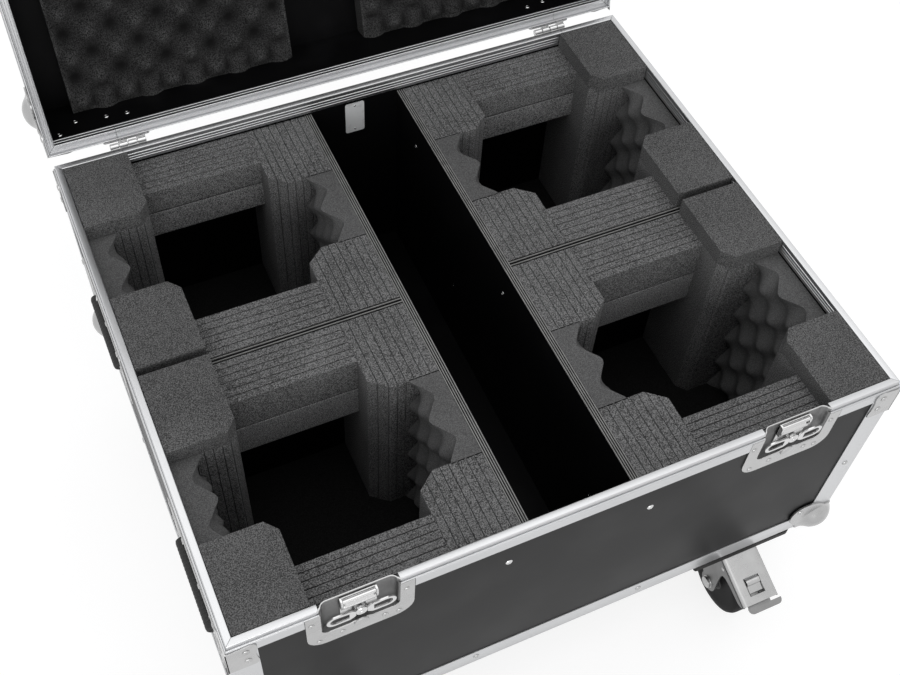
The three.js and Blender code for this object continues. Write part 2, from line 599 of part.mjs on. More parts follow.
// The sliding hook: a forked plate behind the key with two cheeks that carry two rollers
function latchHook(x) {
  const plateBack = LATCH_BACK - LATCH.stand;
  const plateFront = plateBack - LATCH.hookSheet;
  const axisZ = RIM_TOP - LATCH.axisDrop;
  let hook = block(
    [x - LATCH.hookHalf, plateFront, RIM_TOP - LATCH.hookBottom],
    [x + LATCH.hookHalf, plateBack, RIM_TOP - LATCH.hookTop],
  ).subtract(block(
    [x - LATCH.boss - FIT, plateFront - OVERRUN, RIM_TOP - LATCH.hookBottom - OVERRUN],
    [x + LATCH.boss + FIT, plateBack + OVERRUN, axisZ + LATCH.boss + FIT],
  ));
  for (const side of SIDES) {
    hook = hook.add(block(
      [x + side * (LATCH.hookHalf - LATCH.cheek), plateBack - LATCH.cheekDepth, RIM_TOP - LATCH.cheekBottom],
      [x + side * LATCH.hookHalf, plateBack, RIM_TOP - LATCH.hookTop],
    ));
  }
  const rollY = plateBack - LATCH.cheekDepth + LATCH.roll;
  for (const drop of [LATCH.rollDrop, LATCH.lowRollDrop]) {
    hook = hook.add(rod(
      'x', LATCH.roll, x - LATCH.hookHalf, x + LATCH.hookHalf, [rollY, RIM_TOP - drop], LATCH.steps,
    ));
  }
  return hook;
}

function latches() {
  for (const side of SIDES) {
    const label = side < 0 ? 'left' : 'right';
    const x = side * LATCH_X;
    const catchBar = block(
      [x - LATCH.catchHalf, LATCH_BACK - LATCH.catchDepth, LID_WEB + LATCH.catchRise],
      [x + LATCH.catchHalf, LATCH_BACK + LATCH.sheet / 2, LID_WEB + LATCH.catchRise + LATCH.catchHeight],
    );
    place(group, `latch_dish_body_${label}`, latchDish(x, -1), 'zinc');
    place(group, `latch_key_${label}`, latchKey(x), 'zinc');
    place(group, `latch_hook_${label}`, latchHook(x), 'zinc');
    place(lid, `latch_dish_lid_${label}`, latchDish(x, 1).add(catchBar), 'zinc');
  }
}

// A recessed handle in its own frame: X points out of the wall, from the plywood's face
function handle(side, end) {
  const frame = new THREE.Group();
  frame.position.set(side * (HALF_X - SKIN), end * HANDLE_Y, HANDLE_Z);
  frame.rotation.z = side < 0 ? Math.PI : 0;
  group.add(frame);
  const [halfY, halfZ] = [HANDLE.bowlLength / 2, HANDLE.bowlHeight / 2];
  const corners = new Array(4).fill(HANDLE.corner);
  const bowlCorners = new Array(4).fill(HANDLE.bowlCorner);
  const [rimY, rimZ] = [HANDLE.flangeLength / 2, HANDLE.flangeHeight / 2];
  const flange = rounded([-rimY, -rimZ], [rimY, rimZ], corners);
  const bowl = rounded([-halfY, -halfZ], [halfY, halfZ], bowlCorners);
  const hollow = rounded(
    [-halfY + HANDLE.sheet, -halfZ + HANDLE.sheet], [halfY - HANDLE.sheet, halfZ - HANDLE.sheet],
    bowlCorners.map((radius) => radius - HANDLE.sheet),
  );
  const armY = halfY - HANDLE.armInset;
  const earY = armY + HANDLE.arm + FIT;
  const pivot = [-HANDLE.pivotDepth, HANDLE.pivotRise];
  let dish = slab('x', flange, 0, SKIN).add(slab('x', bowl, -HANDLE.depth - HANDLE.sheet, SKIN))
    .subtract(slab('x', hollow, -HANDLE.depth, OVERRUN));
  for (const way of SIDES) {
    const ear = block(
      [-HANDLE.depth - HANDLE.sheet, way * earY, HANDLE.pivotRise - HANDLE.earHalf],
      [0, way * (earY + HANDLE.earLength), HANDLE.pivotRise + HANDLE.earHalf],
    );
    const bore = rod('y', HANDLE.bore, ...ordered(way * (earY - FIT), way * halfY), pivot, HANDLE.steps);
    dish = dish.add(ear).subtract(bore);
  }
  const tip = [HANDLE.gripOut, -HANDLE.gripDrop];
  const gripHalf = halfY - HANDLE.gripGap;
  let bail = rod('y', HANDLE.gripRadius, -gripHalf, gripHalf, tip, HANDLE.steps);
  const reach = Math.hypot(tip[0] - pivot[0], tip[1] - pivot[1]);
  const lean = Math.atan2(tip[0] - pivot[0], tip[1] - pivot[1]);
  for (const way of SIDES) {
    const arm = new THREE.CylinderGeometry(HANDLE.arm, HANDLE.arm, reach, HANDLE.steps);
    arm.rotateX(Math.PI / 2);
    arm.translate(0, 0, reach / 2);
    arm.rotateY(lean);
    arm.translate(pivot[0], way * armY, pivot[1]);
    const pinEnds = ordered(way * (armY - HANDLE.arm), way * (earY + HANDLE.earLength - FIT));
    bail = bail.add(toSolid(arm)).add(rod('y', HANDLE.pin, ...pinEnds, pivot, HANDLE.steps));
  }
  const label = cornerName(side, end);
  place(frame, `handle_dish_${label}`, dish, 'zinc');
  place(frame, `handle_grip_${label}`, bail, 'rubber');
}

// A caster in its own frame: Z is the swivel's axis, 0 is the board's underside and the wheel trails to -Y
function caster(sideX, sideY) {
  const frame = new THREE.Group();
  frame.position.set(sideX * CASTER_X, sideY * CASTER_Y, CASTER_HEIGHT);
  group.add(frame);
  const label = cornerName(sideX, sideY);
  const raceTop = -CASTER.plate - FIT;
  const crownTop = raceTop - CASTER.raceHeight;
  const crownLow = crownTop - CASTER.crown;
  const nutTop = crownLow - FIT;
  const axleZ = CASTER.wheelRadius - CASTER_HEIGHT;
  const flat = (sizeX, sizeY, low, high) => (
    block([-sizeX / 2, -sizeY / 2, low], [sizeX / 2, sizeY / 2, high])
  );
  const mount = flat(CASTER.boardX, CASTER.boardY, 0, BOARD_THICKNESS)
    .add(flat(CASTER.plateX, CASTER.plateY, -CASTER.plate, 0))
    .add(rod('z', CASTER.kingpin, nutTop - CASTER.nutHeight, 0, [0, 0], CASTER.pinSteps))
    .add(rod('z', CASTER.nut, nutTop - CASTER.nutHeight, nutTop, [0, 0], BOLT_SIDES));
  place(frame, `caster_mount_${label}`, mount, 'zinc');
  place(frame, `caster_fork_${label}`, casterFork(raceTop, crownTop, crownLow, axleZ, sideY < 0), 'zinc');
  place(frame, `caster_wheel_${label}`, casterWheel(axleZ), 'wheel');
  if (sideY < 0) {
    place(frame, `brake_pedal_${label}`, brakePedal(), 'zinc');
  }
}

// The fork: race, crown, two cheeks, the axle with its bolt heads and, on a braked caster, the front cover
function casterFork(raceTop, crownTop, crownLow, axleZ, braked) {
  const axle = [-CASTER.trail, axleZ];
  const lower = (shares) => shares.map(([alongY, alongZ]) => [-alongY * CASTER.coverFront, alongZ * axleZ]);
  const bossArc = [];
  for (let index = 0; index <= CASTER.bossSteps; index += 1) {
    const angle = Math.PI + 2 * Math.PI * BOSS_TURN_SHARE * index / CASTER.bossSteps;
    bossArc.push([axle[0] + CASTER.axleBoss * Math.cos(angle), axle[1] + CASTER.axleBoss * Math.sin(angle)]);
  }
  const coverEnds = [
    [-CASTER.coverBack, -CASTER.coverBackDrop],
    [-CASTER.coverFront, -CASTER.coverFrontDrop],
  ];
  const front = braked
    ? [...coverEnds, ...lower(FORK_LOWER_SHARES)]
    : [[-CASTER.coverBack, crownTop], ...lower(FORK_LOWER_SHARES.slice(-2))];
  const outline = [
    [CASTER.forkBack, crownLow], [CASTER.forkBack, crownTop],
    ...front, ...bossArc, ...lower(FORK_REAR_SHARES),
  ];
  let fork = rod('z', CASTER.race, crownTop, raceTop, [0, 0], CASTER.steps)
    .add(block(
      [-CASTER.forkHalf, -CASTER.coverBack, crownLow],
      [CASTER.forkHalf, CASTER.forkBack, crownTop],
    ));
  for (const side of SIDES) {
    const cheek = ordered(side * (CASTER.forkHalf - CASTER.cheek), side * CASTER.forkHalf);
    const bolt = ordered(side * CASTER.forkHalf, side * (CASTER.forkHalf + CASTER.boltLength));
    fork = fork.add(slab('x', outline, ...cheek)).add(rod('x', CASTER.bolt, ...bolt, axle, BOLT_SIDES));
  }
  fork = fork.add(rod('x', CASTER.axle, -CASTER.forkHalf, CASTER.forkHalf, axle, CASTER.pinSteps));
  if (braked) {
    const cover = [
      [-CASTER.coverBack, -CASTER.coverBackDrop], [-CASTER.coverFront, -CASTER.coverFrontDrop],
      [-CASTER.coverFront, -CASTER.coverFrontDrop - CASTER.coverSkin],
      [-CASTER.coverBack, -CASTER.coverBackDrop - CASTER.coverSkin],
    ];
    const low = -CASTER.coverFrontDrop - OVERRUN;
    const cut = (half, end) => block([-half, -end, low], [half, -CASTER.windowStart, 0]);
    const window = cut(CASTER.windowHalf, CASTER.windowEnd)
      .subtract(cut(CASTER.tongueHalf, CASTER.tongueEnd));
    fork = fork.add(slab('x', cover, -CASTER.forkHalf, CASTER.forkHalf).subtract(window));
  }
  return fork.subtract(rod('z', CASTER.bore, crownLow - OVERRUN, raceTop + OVERRUN, [0, 0], CASTER.pinSteps));
}

// The wheel: a hub and a soft tread with round shoulders, turned about X
function casterWheel(axleZ) {
  const half = [
    [CASTER.hubBore, CASTER.hubHalf], [CASTER.hubRadius, CASTER.hubHalf],
    [CASTER.hubRadius, CASTER.treadHalf],
    [CASTER.wheelRadius - CASTER.treadRound, CASTER.treadHalf],
    [CASTER.wheelRadius, CASTER.treadHalf - CASTER.treadRound],
  ];
  const otherHalf = half.map(([radius, across]) => [radius, -across]).reverse();
  const profile = [...half, ...otherHalf, half[0]].map(([radius, at]) => new THREE.Vector2(radius, at));
  const wheel = new THREE.LatheGeometry(profile.reverse(), CASTER.steps);
  wheel.rotateZ(-Math.PI / 2);
  wheel.translate(0, -CASTER.trail, axleZ);
  return toSolid(wheel);
}

// The brake pedal: a sloping plate with an offset tab, a pivot tube and a shoe over the tread
function brakePedal() {
  const tabBack = -CASTER.coverFront - PEDAL.tabGap;
  const tabFront = tabBack - PEDAL.tabDepth;
  const outline = [
    [-PEDAL.back, -PEDAL.backDrop], [tabFront, -PEDAL.frontDrop],
    [tabFront, -PEDAL.frontDrop - PEDAL.skin], [-PEDAL.back, -PEDAL.backDrop - PEDAL.skin],
  ];
  const corners = [PEDAL.corner, PEDAL.corner, 0, 0];
  const tab = rounded([-PEDAL.tabLeft, tabFront], [PEDAL.tabRight, tabBack], corners);
  const low = -PEDAL.frontDrop - 2 * OVERRUN;
  const plan = slab('z', tab, low, 0)
    .add(block([-PEDAL.neckHalf, tabBack - PEDAL.skin, low], [PEDAL.neckHalf, -PEDAL.back, 0]));
  const pivot = [-PEDAL.back, -PEDAL.backDrop - PEDAL.skin / 2];
  const pinHalf = CASTER.forkHalf - CASTER.cheek - FIT;
  return slab('x', outline, -PEDAL.tabLeft, PEDAL.tabRight).intersect(plan)
    .add(rod('x', PEDAL.tube, -PEDAL.tubeHalf, PEDAL.tubeHalf, pivot, CASTER.pinSteps))
    .add(rod('x', PEDAL.pin, -pinHalf, pinHalf, pivot, CASTER.pinSteps))
    .add(block(
      [-PEDAL.shoeHalf, -PEDAL.shoeFront, -PEDAL.shoeDrop],
      [PEDAL.shoeHalf, -PEDAL.shoeBack, -PEDAL.backDrop - PEDAL.skin],
    ));
}

bodyPanels();
partitions();
labelPlate();
bodyRim();
bodyEdges();
bottomCorners();
lidPanels();
lidRim();
lidEdges();
lidPads();
hinge(-HINGE_X, 'left');
hinge(HINGE_X, 'right');
latches();
for (const sideX of SIDES) {
  for (const sideY of SIDES) {
    foamNest(sideX, sideY);
    handle(sideX, sideY);
    caster(sideX, sideY);
  }
}

export default group;
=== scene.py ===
import math
import bmesh
import bpy
from mathutils import Matrix, Vector
from mathutils.geometry import tessellate_polygon


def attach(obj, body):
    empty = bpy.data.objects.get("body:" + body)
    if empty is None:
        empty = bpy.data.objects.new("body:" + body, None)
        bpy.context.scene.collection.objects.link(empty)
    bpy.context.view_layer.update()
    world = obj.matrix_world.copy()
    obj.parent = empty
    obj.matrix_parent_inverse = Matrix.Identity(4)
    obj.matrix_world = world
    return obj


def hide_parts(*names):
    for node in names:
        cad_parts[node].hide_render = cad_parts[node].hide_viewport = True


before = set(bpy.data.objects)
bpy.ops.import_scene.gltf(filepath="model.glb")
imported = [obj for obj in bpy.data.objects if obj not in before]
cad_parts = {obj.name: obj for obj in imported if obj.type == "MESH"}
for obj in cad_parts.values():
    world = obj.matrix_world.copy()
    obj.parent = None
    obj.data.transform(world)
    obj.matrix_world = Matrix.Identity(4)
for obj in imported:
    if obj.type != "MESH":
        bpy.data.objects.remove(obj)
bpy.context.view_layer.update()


# Plywood panels. They are 7 mm boards with a hard black laminate on both faces, sawn square, and
# the edge angles are riveted over their joints. The CAD boards stay.
def grey(value):
    return (value, value, value, 1)


class Shade:
    """A shader socket that takes part in Python expressions."""

    def __init__(self, tree, socket=None):
        self.tree = tree
        self.socket = socket

    def node(self, kind, output, settings=None, sockets=None):
        made = self.tree.nodes.new(kind)
        for name, value in (settings or {}).items():
            setattr(made, name, value)
        for name, value in (sockets or {}).items():
            if isinstance(value, Shade):
                self.tree.links.new(value.socket, made.inputs[name])
            else:
                made.inputs[name].default_value = value
        return Shade(self.tree, None if output is None else made.outputs[output])

    def math(self, operation, first, second):
        return self.node("ShaderNodeMath", "Value", {"operation": operation}, {0: first, 1: second})

    def __add__(self, other):
        return self.math("ADD", self, other)

    def __mul__(self, other):
        return self.math("MULTIPLY", self, other)

    __radd__ = __add__
    __rmul__ = __mul__


def new_material(name, look, *values):
    """A material with the sockets that 'look' gives for its shade and the values."""
    material = bpy.data.materials.new(name)
    material.use_nodes = True
    material.node_tree.nodes.clear()
    shade = Shade(material.node_tree)
    surface = shade.node("ShaderNodeBsdfPrincipled", "BSDF", None, look(shade, *values))
    shade.node("ShaderNodeOutputMaterial", None, None, {"Surface": surface})
    return material


def stretched(shade, stretch=(1, 1, 1)):
    place = shade.node("ShaderNodeTexCoord", "Object")
    settings = {"operation": "MULTIPLY"}
    return shade.node("ShaderNodeVectorMath", "Vector", settings, {0: place, 1: stretch})


def cloud(shade, scale, detail=2.0, stretch=(1, 1, 1)):
    sockets = {"Vector": stretched(shade, stretch), "Scale": scale, "Detail": detail}
    return shade.node("ShaderNodeTexNoise", "Fac", None, sockets)


def ramp(shade, value, low, high):
    """Black below 'low' and white above 'high'."""
    made = shade.node("ShaderNodeValToRGB", "Color", None, {"Fac": value})
    first, last = made.socket.node.color_ramp.elements
    first.position, last.position = low, high
    return made


def bumped(shade, height, strength, distance):
    sockets = {"Height": height, "Strength": strength, "Distance": distance}
    return shade.node("ShaderNodeBump", "Normal", None, sockets)


def mixed(shade, factor, first, second):
    settings = {"data_type": "RGBA"}
    return shade.node("ShaderNodeMix", 2, settings, {0: factor, 6: first, 7: second})


def laminate(shade):
    pebble = cloud(shade, 700.0)
    scuffs = cloud(shade, 11.0, 6.0)
    worn = ramp(shade, scuffs, 0.56, 0.74)
    return {
        "Base Color": mixed(shade, worn, (0.003, 0.003, 0.0033, 1), (0.007, 0.007, 0.0075, 1)),
        "Roughness": 0.3 + 0.16 * scuffs,
        "Specular IOR Level": 0.09,
        "Normal": bumped(shade, pebble, 0.1, 0.0002),
    }


black_laminate = new_material("black_laminate", laminate)
for panel in ("base_panel", "front_panel", "rear_panel", "left_panel", "right_panel",
              "lid_top_panel", "lid_walls"):
    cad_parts[panel].data.materials.clear()
    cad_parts[panel].data.materials.append(black_laminate)


# Rims of the body and the lid. They are extruded aluminium, satin anodised, cut into lengths and
# mitred at the corners. The lid's has a lip that closes over the body's.
HALF_X = 380
HALF_Y = 325
RIM_TOP = 449
MITRE_GAP = 0.12
LATCH_X = 247
LATCH_GAP = 41.3
FLANGE_GAP = 56.4
SEAM_X = 297
SEAM_GAP = 0.15
HINGE_Y = 333.5
HINGE_Z = 443
OPENING = (Matrix.Translation((0, HINGE_Y, HINGE_Z)) @ Matrix.Rotation(math.radians(-103), 4, "X")
           @ Matrix.Translation((0, -HINGE_Y, -HINGE_Z)))
BODY_RIM = [
    (0.8, -7.4), (0, -7.2), (0, -6.5), (0.5, -6), (1.5, -6), (1.7, -6.7), (2.6, -6.7), (2.8, -5.4),
    (1.8, -4.8), (1.8, -0.8), (2.6, 0), (8.9, 0), (9.7, -0.4), (10, -1.2), (10, -5.4), (9.2, -5.9),
    (9.2, -6.6), (10, -7.1), (10, -9.6), (9.5, -9.9), (9.5, -11), (10, -11.3), (10, -13.4), (9.5, -13.7),
    (9.5, -14.8), (10, -15.1), (10, -19.2), (9.4, -20), (8.5, -20), (8.5, -7.6), (1.5, -7.6),
]
BODY_LEG = [(0, -24), (0, -8.5), (0.8, -8.2), (0.8, -7.6), (1.5, -7.6), (1.5, -24)]
LID_RIM = [
    (0, 5.3), (0, -5.3), (0.4, -5.7), (1.1, -5.7), (1.5, -5.3), (1.5, 0.3), (3, 0.3), (3, 1.5), (5.6, 1.5),
    (5.6, 0.3), (8.2, 0.3), (8.2, 1.1), (9, 1.1), (9, 0.3), (9.6, 0.3), (10, 0.7), (10, 4.2), (9.5, 4.6),
    (9.5, 6), (10, 6.4), (10, 10), (9.5, 10.4), (9.5, 11.8), (10, 12.2), (10, 14.3), (8.5, 14.3),
    (8.5, 3.3), (1.5, 3.3), (1.5, 5.3),
]
LID_LEG = [(0, 5.3), (0, 12.3), (1.5, 12.3), (1.5, 5.3)]


def aluminium(shade, stretch):
    drawn = cloud(shade, 1.0, 3.0, stretch)
    patches = cloud(shade, 9.0, 4.0)
    return {
        "Base Color": mixed(shade, patches, (0.52, 0.525, 0.535, 1), (0.64, 0.645, 0.655, 1)),
        "Metallic": 1.0,
        "Roughness": 0.24 + 0.12 * drawn + 0.08 * patches,
        "Normal": bumped(shade, drawn, 0.08, 0.0003),
    }


def wall_point(wall, along, inset, height):
    side = -1 if wall in ("front", "left") else 1
    if wall in ("front", "rear"):
        return Vector((along, side * (HALF_Y - inset), height))
    return Vector((side * (HALF_X - inset), along, height))


def close_rings(shape, rings, finish=0):
    """Joins rings of as many points by quads, and closes both ends."""
    drawn = [[shape.verts.new(point) for point in ring] for ring in rings]
    for near, far in zip(drawn, drawn[1:]):
        for index in range(len(near)):
            after = (index + 1) % len(near)
            face = shape.faces.new((near[index], near[after], far[after], far[index]))
            face.material_index = finish
    for ring in (drawn[0], drawn[-1]):
        shape.faces.new(ring).material_index = finish


def rim_length(shape, wall, profile, start, end, base, finish=0):
    """One length of a section along a wall; an end given as None is mitred at the corner."""
    reach = HALF_X if wall in ("front", "rear") else HALF_Y
    rings = []
    for stop, sign in ((start, -1), (end, 1)):
        ring = []
        for inset, height in profile:
            along = sign * (reach - inset - MITRE_GAP) if stop is None else stop
            ring.append(wall_point(wall, along, inset, base + height))
        rings.append(ring)
    close_rings(shape, rings, finish)


def add_object(name, data):
    made = bpy.data.objects.new(name, data)
    bpy.context.scene.collection.objects.link(made)
    return made


def add_mesh(name, shape, materials, opened=False):
    """Makes an object of a mesh drawn in millimetres, and opens it if it is drawn with the lid shut."""
    mesh = bpy.data.meshes.new(name)
    shape.to_mesh(mesh)
    shape.free()
    if opened:
        mesh.transform(OPENING)
    mesh.transform(Matrix.Scale(0.001, 4))
    for material in materials:
        mesh.materials.append(material)
    return add_object(name, mesh)


def put(name, body, shape, materials, nodes=(), bevel=0.0, opened=False, crisp=35):
    """Adds a piece that rides on a body of the frame."""
    bmesh.ops.recalc_face_normals(shape, faces=shape.faces)
    piece = add_mesh(name, shape, materials, opened)
    piece.data.shade_smooth()
    piece.data.set_sharp_from_angle(angle=math.radians(crisp))
    if bevel:
        edge = piece.modifiers.new("rounded_edges", "BEVEL")
        edge.width = bevel / 1000
        edge.segments = 2
        edge.limit_method = "ANGLE"
        edge.angle_limit = math.radians(40)
        edge.harden_normals = True
    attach(piece, body)
    if nodes:
        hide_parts(*nodes)
    return piece


drawn_in_x = new_material("aluminium_drawn_in_x", aluminium, (6, 900, 900))
drawn_in_y = new_material("aluminium_drawn_in_y", aluminium, (900, 6, 900))
drawn_in_z = new_material("aluminium_drawn_in_z", aluminium, (900, 900, 6))
for part, body, section, leg, opened in (("body_rim", "case", BODY_RIM, BODY_LEG, False),
                                         ("lid_rim", "lid", LID_RIM, LID_LEG, True)):
    lengths, middle = bmesh.new(), bmesh.new()
    for profile, gap in ((section, LATCH_GAP), (leg, FLANGE_GAP)):
        for wall in ("left", "right"):
            rim_length(lengths, wall, profile, None, None, RIM_TOP, 1)
        for start, end in ((None, -SEAM_X - SEAM_GAP), (SEAM_GAP - SEAM_X, SEAM_X - SEAM_GAP),
                           (SEAM_X + SEAM_GAP, None)):
            rim_length(lengths, "rear", profile, start, end, RIM_TOP)
        rim_length(lengths, "front", profile, None, -LATCH_X - gap, RIM_TOP)
        rim_length(lengths, "front", profile, LATCH_X + gap, None, RIM_TOP)
        rim_length(middle, "front", profile, gap - LATCH_X, LATCH_X - gap, RIM_TOP)
    put(part + "_lengths", body, lengths, [drawn_in_x, drawn_in_y], [part], 0.25, opened)
    put(part + "_front_length", body, middle, [drawn_in_x], [part + "_front"], 0.25, opened)


# Edge angles and corner braces. The angles are 30 mm aluminium with a rounded back, riveted through
# the boards every 215 mm or so. The braces are pressed plates that hold the rims' mitres together.
CASE_BOTTOM = 140
LID_TOP = 547.3
ANGLE = [(0, 30), (0, 1.8), (0.5, 0.5), (1.8, 0), (30, 0), (30, 1.5), (1.5, 1.5), (1.5, 30)]
BRACE = [
    (0, -10), (15, -9), (24, -8), (29, -9.5), (31.3, -14), (31.3, -19), (29.6, -25), (29.2, -32),
    (30, -40), (31.3, -46), (30.5, -52), (27, -54), (0, -54),
]
BRACE_THICK = 1.5
RIVET = [(0, 0.8), (1.3, 0.8), (1.6, 1.3), (2.6, 1.15), (3.6, 0.6), (4, 0)]
RIVET_IN = 16
SIDES = (-1, 1)
HANDS = ((-1, "left"), (1, "right"))
CORNERS = [(side_x, side_y, ("front_" if side_y < 0 else "rear_") + hand)
           for side_x, hand in HANDS for side_y in SIDES]


def zinc_steel(shade, light, rough):
    spangle = cloud(shade, 60.0, 5.0)
    fine = cloud(shade, 1500.0)
    return {
        "Base Color": mixed(shade, spangle, grey(light), grey(light + 0.13)),
        "Metallic": 1.0,
        "Roughness": rough + 0.12 * spangle,
        "Normal": bumped(shade, fine, 0.05, 0.0002),
    }


def extrude(shape, section, stops, place, finish=0):
    """A section of (a, b) points drawn at every stop, where 'place' turns (a, b, stop) into a point."""
    close_rings(shape, [[place(a, b, stop) for a, b in section] for stop in stops], finish)


def turned(shape, profile, place, steps=16, finish=0):
    """A lathe profile of (radius, height) points turned about the Z axis of a place."""
    drawn = []
    for radius, height in profile:
        ring = []
        for step in range(steps if radius else 1):
            angle = 2 * math.pi * step / steps
            spot = Vector((radius * math.cos(angle), radius * math.sin(angle), height))
            ring.append(shape.verts.new(place @ spot))
        drawn.append(ring)
    for near, far in zip(drawn, drawn[1:]):
        for step in range(steps):
            after = (step + 1) % steps
            corners = [near[step % len(near)], near[after % len(near)],
                       far[after % len(far)], far[step % len(far)]]
            unique = list(dict.fromkeys(corners))
            if len(unique) > 2:
                shape.faces.new(unique).material_index = finish
    for ring in (drawn[0], drawn[-1]):
        if len(ring) > 2 and profile[0] != profile[-1]:
            shape.faces.new(ring).material_index = finish


def facing(at, outward):
    return Matrix.Translation(at) @ Vector(outward).to_track_quat("Z", "Y").to_matrix().to_4x4()


def rivet(shape, at, outward, finish=0, scale=1.0):
    head = [(radius * scale, height * scale) for radius, height in RIVET]
    turned(shape, head, facing(at, outward), 12, finish)


def sheet(shape, loops, place, low, high, finish=0):
    """A flat sheet with holes: the first loop is its outline, and 'place' turns (a, b, h) into a point."""
    flat = [[Vector((a, b, 0)) for a, b in loop] for loop in loops]
    triangles = tessellate_polygon(flat)
    levels = [[shape.verts.new(place(point.x, point.y, height)) for loop in flat for point in loop]
              for height in (low, high)]
    for level in levels:
        for corners in triangles:
            shape.faces.new([level[index] for index in corners]).material_index = finish
    first = 0
    for loop in flat:
        for index in range(len(loop)):
            here = first + index
            after = first + (index + 1) % len(loop)
            wall = (levels[0][here], levels[0][after], levels[1][after], levels[1][here])
            shape.faces.new(wall).material_index = finish
        first += len(loop)


def brace_pair(shape, side_x, side_y, turn, base, out):
    """A corner brace: one plate on each wall, with two rivets in each."""
    def on_front(a, b, height):
        return Vector((side_x * (HALF_X + out - a), side_y * (HALF_Y + height), base + turn * b))

    def on_side(a, b, height):
        return Vector((side_x * (HALF_X + height), side_y * (HALF_Y + out - a), base + turn * b))

    for place, outward in ((on_front, (0, side_y, 0)), (on_side, (side_x, 0, 0))):
        sheet(shape, [BRACE], place, out - BRACE_THICK, out, 2)
        for a, b in ((20, -20), (20.5, -40)):
            rivet(shape, place(a, b, out), outward, 2)


def upright(shape, side_x, side_y, low, high):
    """A vertical angle with a rounded back at one corner of the case."""
    extrude(shape, ANGLE, (low, high),
            lambda a, b, level: Vector((side_x * (HALF_X - a), side_y * (HALF_Y - b), level)), 3)


def angle_frame(shape, base, turn, low, high, brace_base, brace_out):
    """The angles round one open end of a box, the uprights, the braces and all their rivets."""
    section = [(inset, turn * height) for inset, height in ANGLE]
    for wall, finish in (("front", 0), ("rear", 0), ("left", 1), ("right", 1)):
        rim_length(shape, wall, section, None, None, base, finish)
    leg_z = base + turn * 17
    for along in (-108, 108):
        for side in SIDES:
            rivet(shape, (along, side * HALF_Y, leg_z), (0, side, 0), 2)
    for along in (-105, 105):
        for side in SIDES:
            rivet(shape, (side * HALF_X, along, leg_z), (side, 0, 0), 2)
    for side_x, side_y, _ in CORNERS:
        upright(shape, side_x, side_y, low, high)
        brace_pair(shape, side_x, side_y, turn, brace_base, brace_out)


pressed_steel = new_material("zinc_plated_pressing", zinc_steel, 0.4, 0.22)
bright_steel = new_material("bright_plated_steel", zinc_steel, 0.56, 0.12)
# A darker copy of the zinc pressing: painted shade in the latch dishes' hollow walls and floors and on the
# caster forks' cheeks.
painted_shade_steel = new_material("zinc_painted_shade", zinc_steel, 0.14, 0.4)
ball_steel = new_material("polished_zinc", zinc_steel, 0.36, 0.19)
edge_finishes = [drawn_in_x, drawn_in_y, pressed_steel, drawn_in_z, ball_steel]
shape = bmesh.new()
angle_frame(shape, CASE_BOTTOM, 1, CASE_BOTTOM, 425, RIM_TOP, 1.5)
for side_x, side_y, _ in CORNERS:
    rivet(shape, (side_x * (HALF_X - RIVET_IN), side_y * HALF_Y, 287), (0, side_y, 0), 2)
    rivet(shape, (side_x * HALF_X, side_y * (HALF_Y - RIVET_IN), 287), (side_x, 0, 0), 2)
put("body_angles_and_braces", "case", shape, edge_finishes, ["body_edge_frame"], 0.3)


# Ball corners. Each is one steel pressing: a ball and a petal on each of three faces, zinc plated and held
# by a rivet near the tip of each petal. Four sit under the body, and four belong to the lid's frame.
BALL_RADIUS = 26
BALL_INSET = 13.5
BALL_SKIN = 2
BALL_STEPS = 24
BALL_FILLET = 5
BALL_BLEND = 4
PETAL = [(0, 42), (7, 43), (14, 46), (20, 55), (27, 66), (33, 72.5), (39, 77.5), (45, 79)]
PETAL_RIVET = 47


def corner_depth(point):
    """How far a point stands out of the pressing: a box with soft edges joined softly to a ball."""
    shifted = [value - (BALL_SKIN - BALL_FILLET) for value in point]
    outside = math.sqrt(sum(max(value, 0) ** 2 for value in shifted))
    box = outside + min(max(shifted), 0) - BALL_FILLET
    ball = math.sqrt(sum((value + BALL_INSET) ** 2 for value in point)) - BALL_RADIUS
    share = min(max(0.5 + 0.5 * (box - ball) / BALL_BLEND, 0), 1)
    return box * (1 - share) + ball * share - BALL_BLEND * share * (1 - share)


def settled(point):
    """Moves a point onto the pressing's face by Newton steps along the slope of its depth."""
    nudge = 0.01
    for _ in range(9):
        depth = corner_depth(point)
        slope = []
        for axis in range(3):
            moved = list(point)
            moved[axis] += nudge
            slope.append((corner_depth(moved) - depth) / nudge)
        size = sum(value * value for value in slope)
        point = [value - depth * grade / size for value, grade in zip(point, slope)]
    return point


def petal_reach(degrees):
    degrees = min(degrees, 90 - degrees)
    for (low, near), (high, far) in zip(PETAL, PETAL[1:]):
        if degrees <= high:
            return near + (far - near) * (degrees - low) / (high - low)
    return PETAL[-1][1]


def lobe_grids():
    """The three lobes as grids of points, measured outwards from the case's own corner."""
    grids = []
    for axis in range(3):
        others = [other for other in range(3) if other != axis]
        grid = []
        for i in range(BALL_STEPS + 1):
            turn = math.pi / 2 * i / BALL_STEPS
            reach = petal_reach(90 * i / BALL_STEPS)
            row = []
            for j in range(BALL_STEPS + 1):
                radius = reach * (j / BALL_STEPS) ** 0.85
                point = [BALL_SKIN] * 3
                point[others[0]] -= radius * math.cos(turn)
                point[others[1]] -= radius * math.sin(turn)
                row.append(settled(point))
            edge = list(row[-1])
            edge[axis] = 0
            row.append(edge)
            grid.append(row)
        grids.append((axis, grid))
    return grids


def quads(shape, rows, finish=0, window=None):
    """Faces between rows of corners; 'window' is the (row, column) of one that is left open."""
    for i, (near, far) in enumerate(zip(rows, rows[1:])):
        for j in range(len(near) - 1):
            if (i, j) != window:
                shape.faces.new((near[j], near[j + 1], far[j + 1], far[j])).material_index = finish


LOBES = lobe_grids()


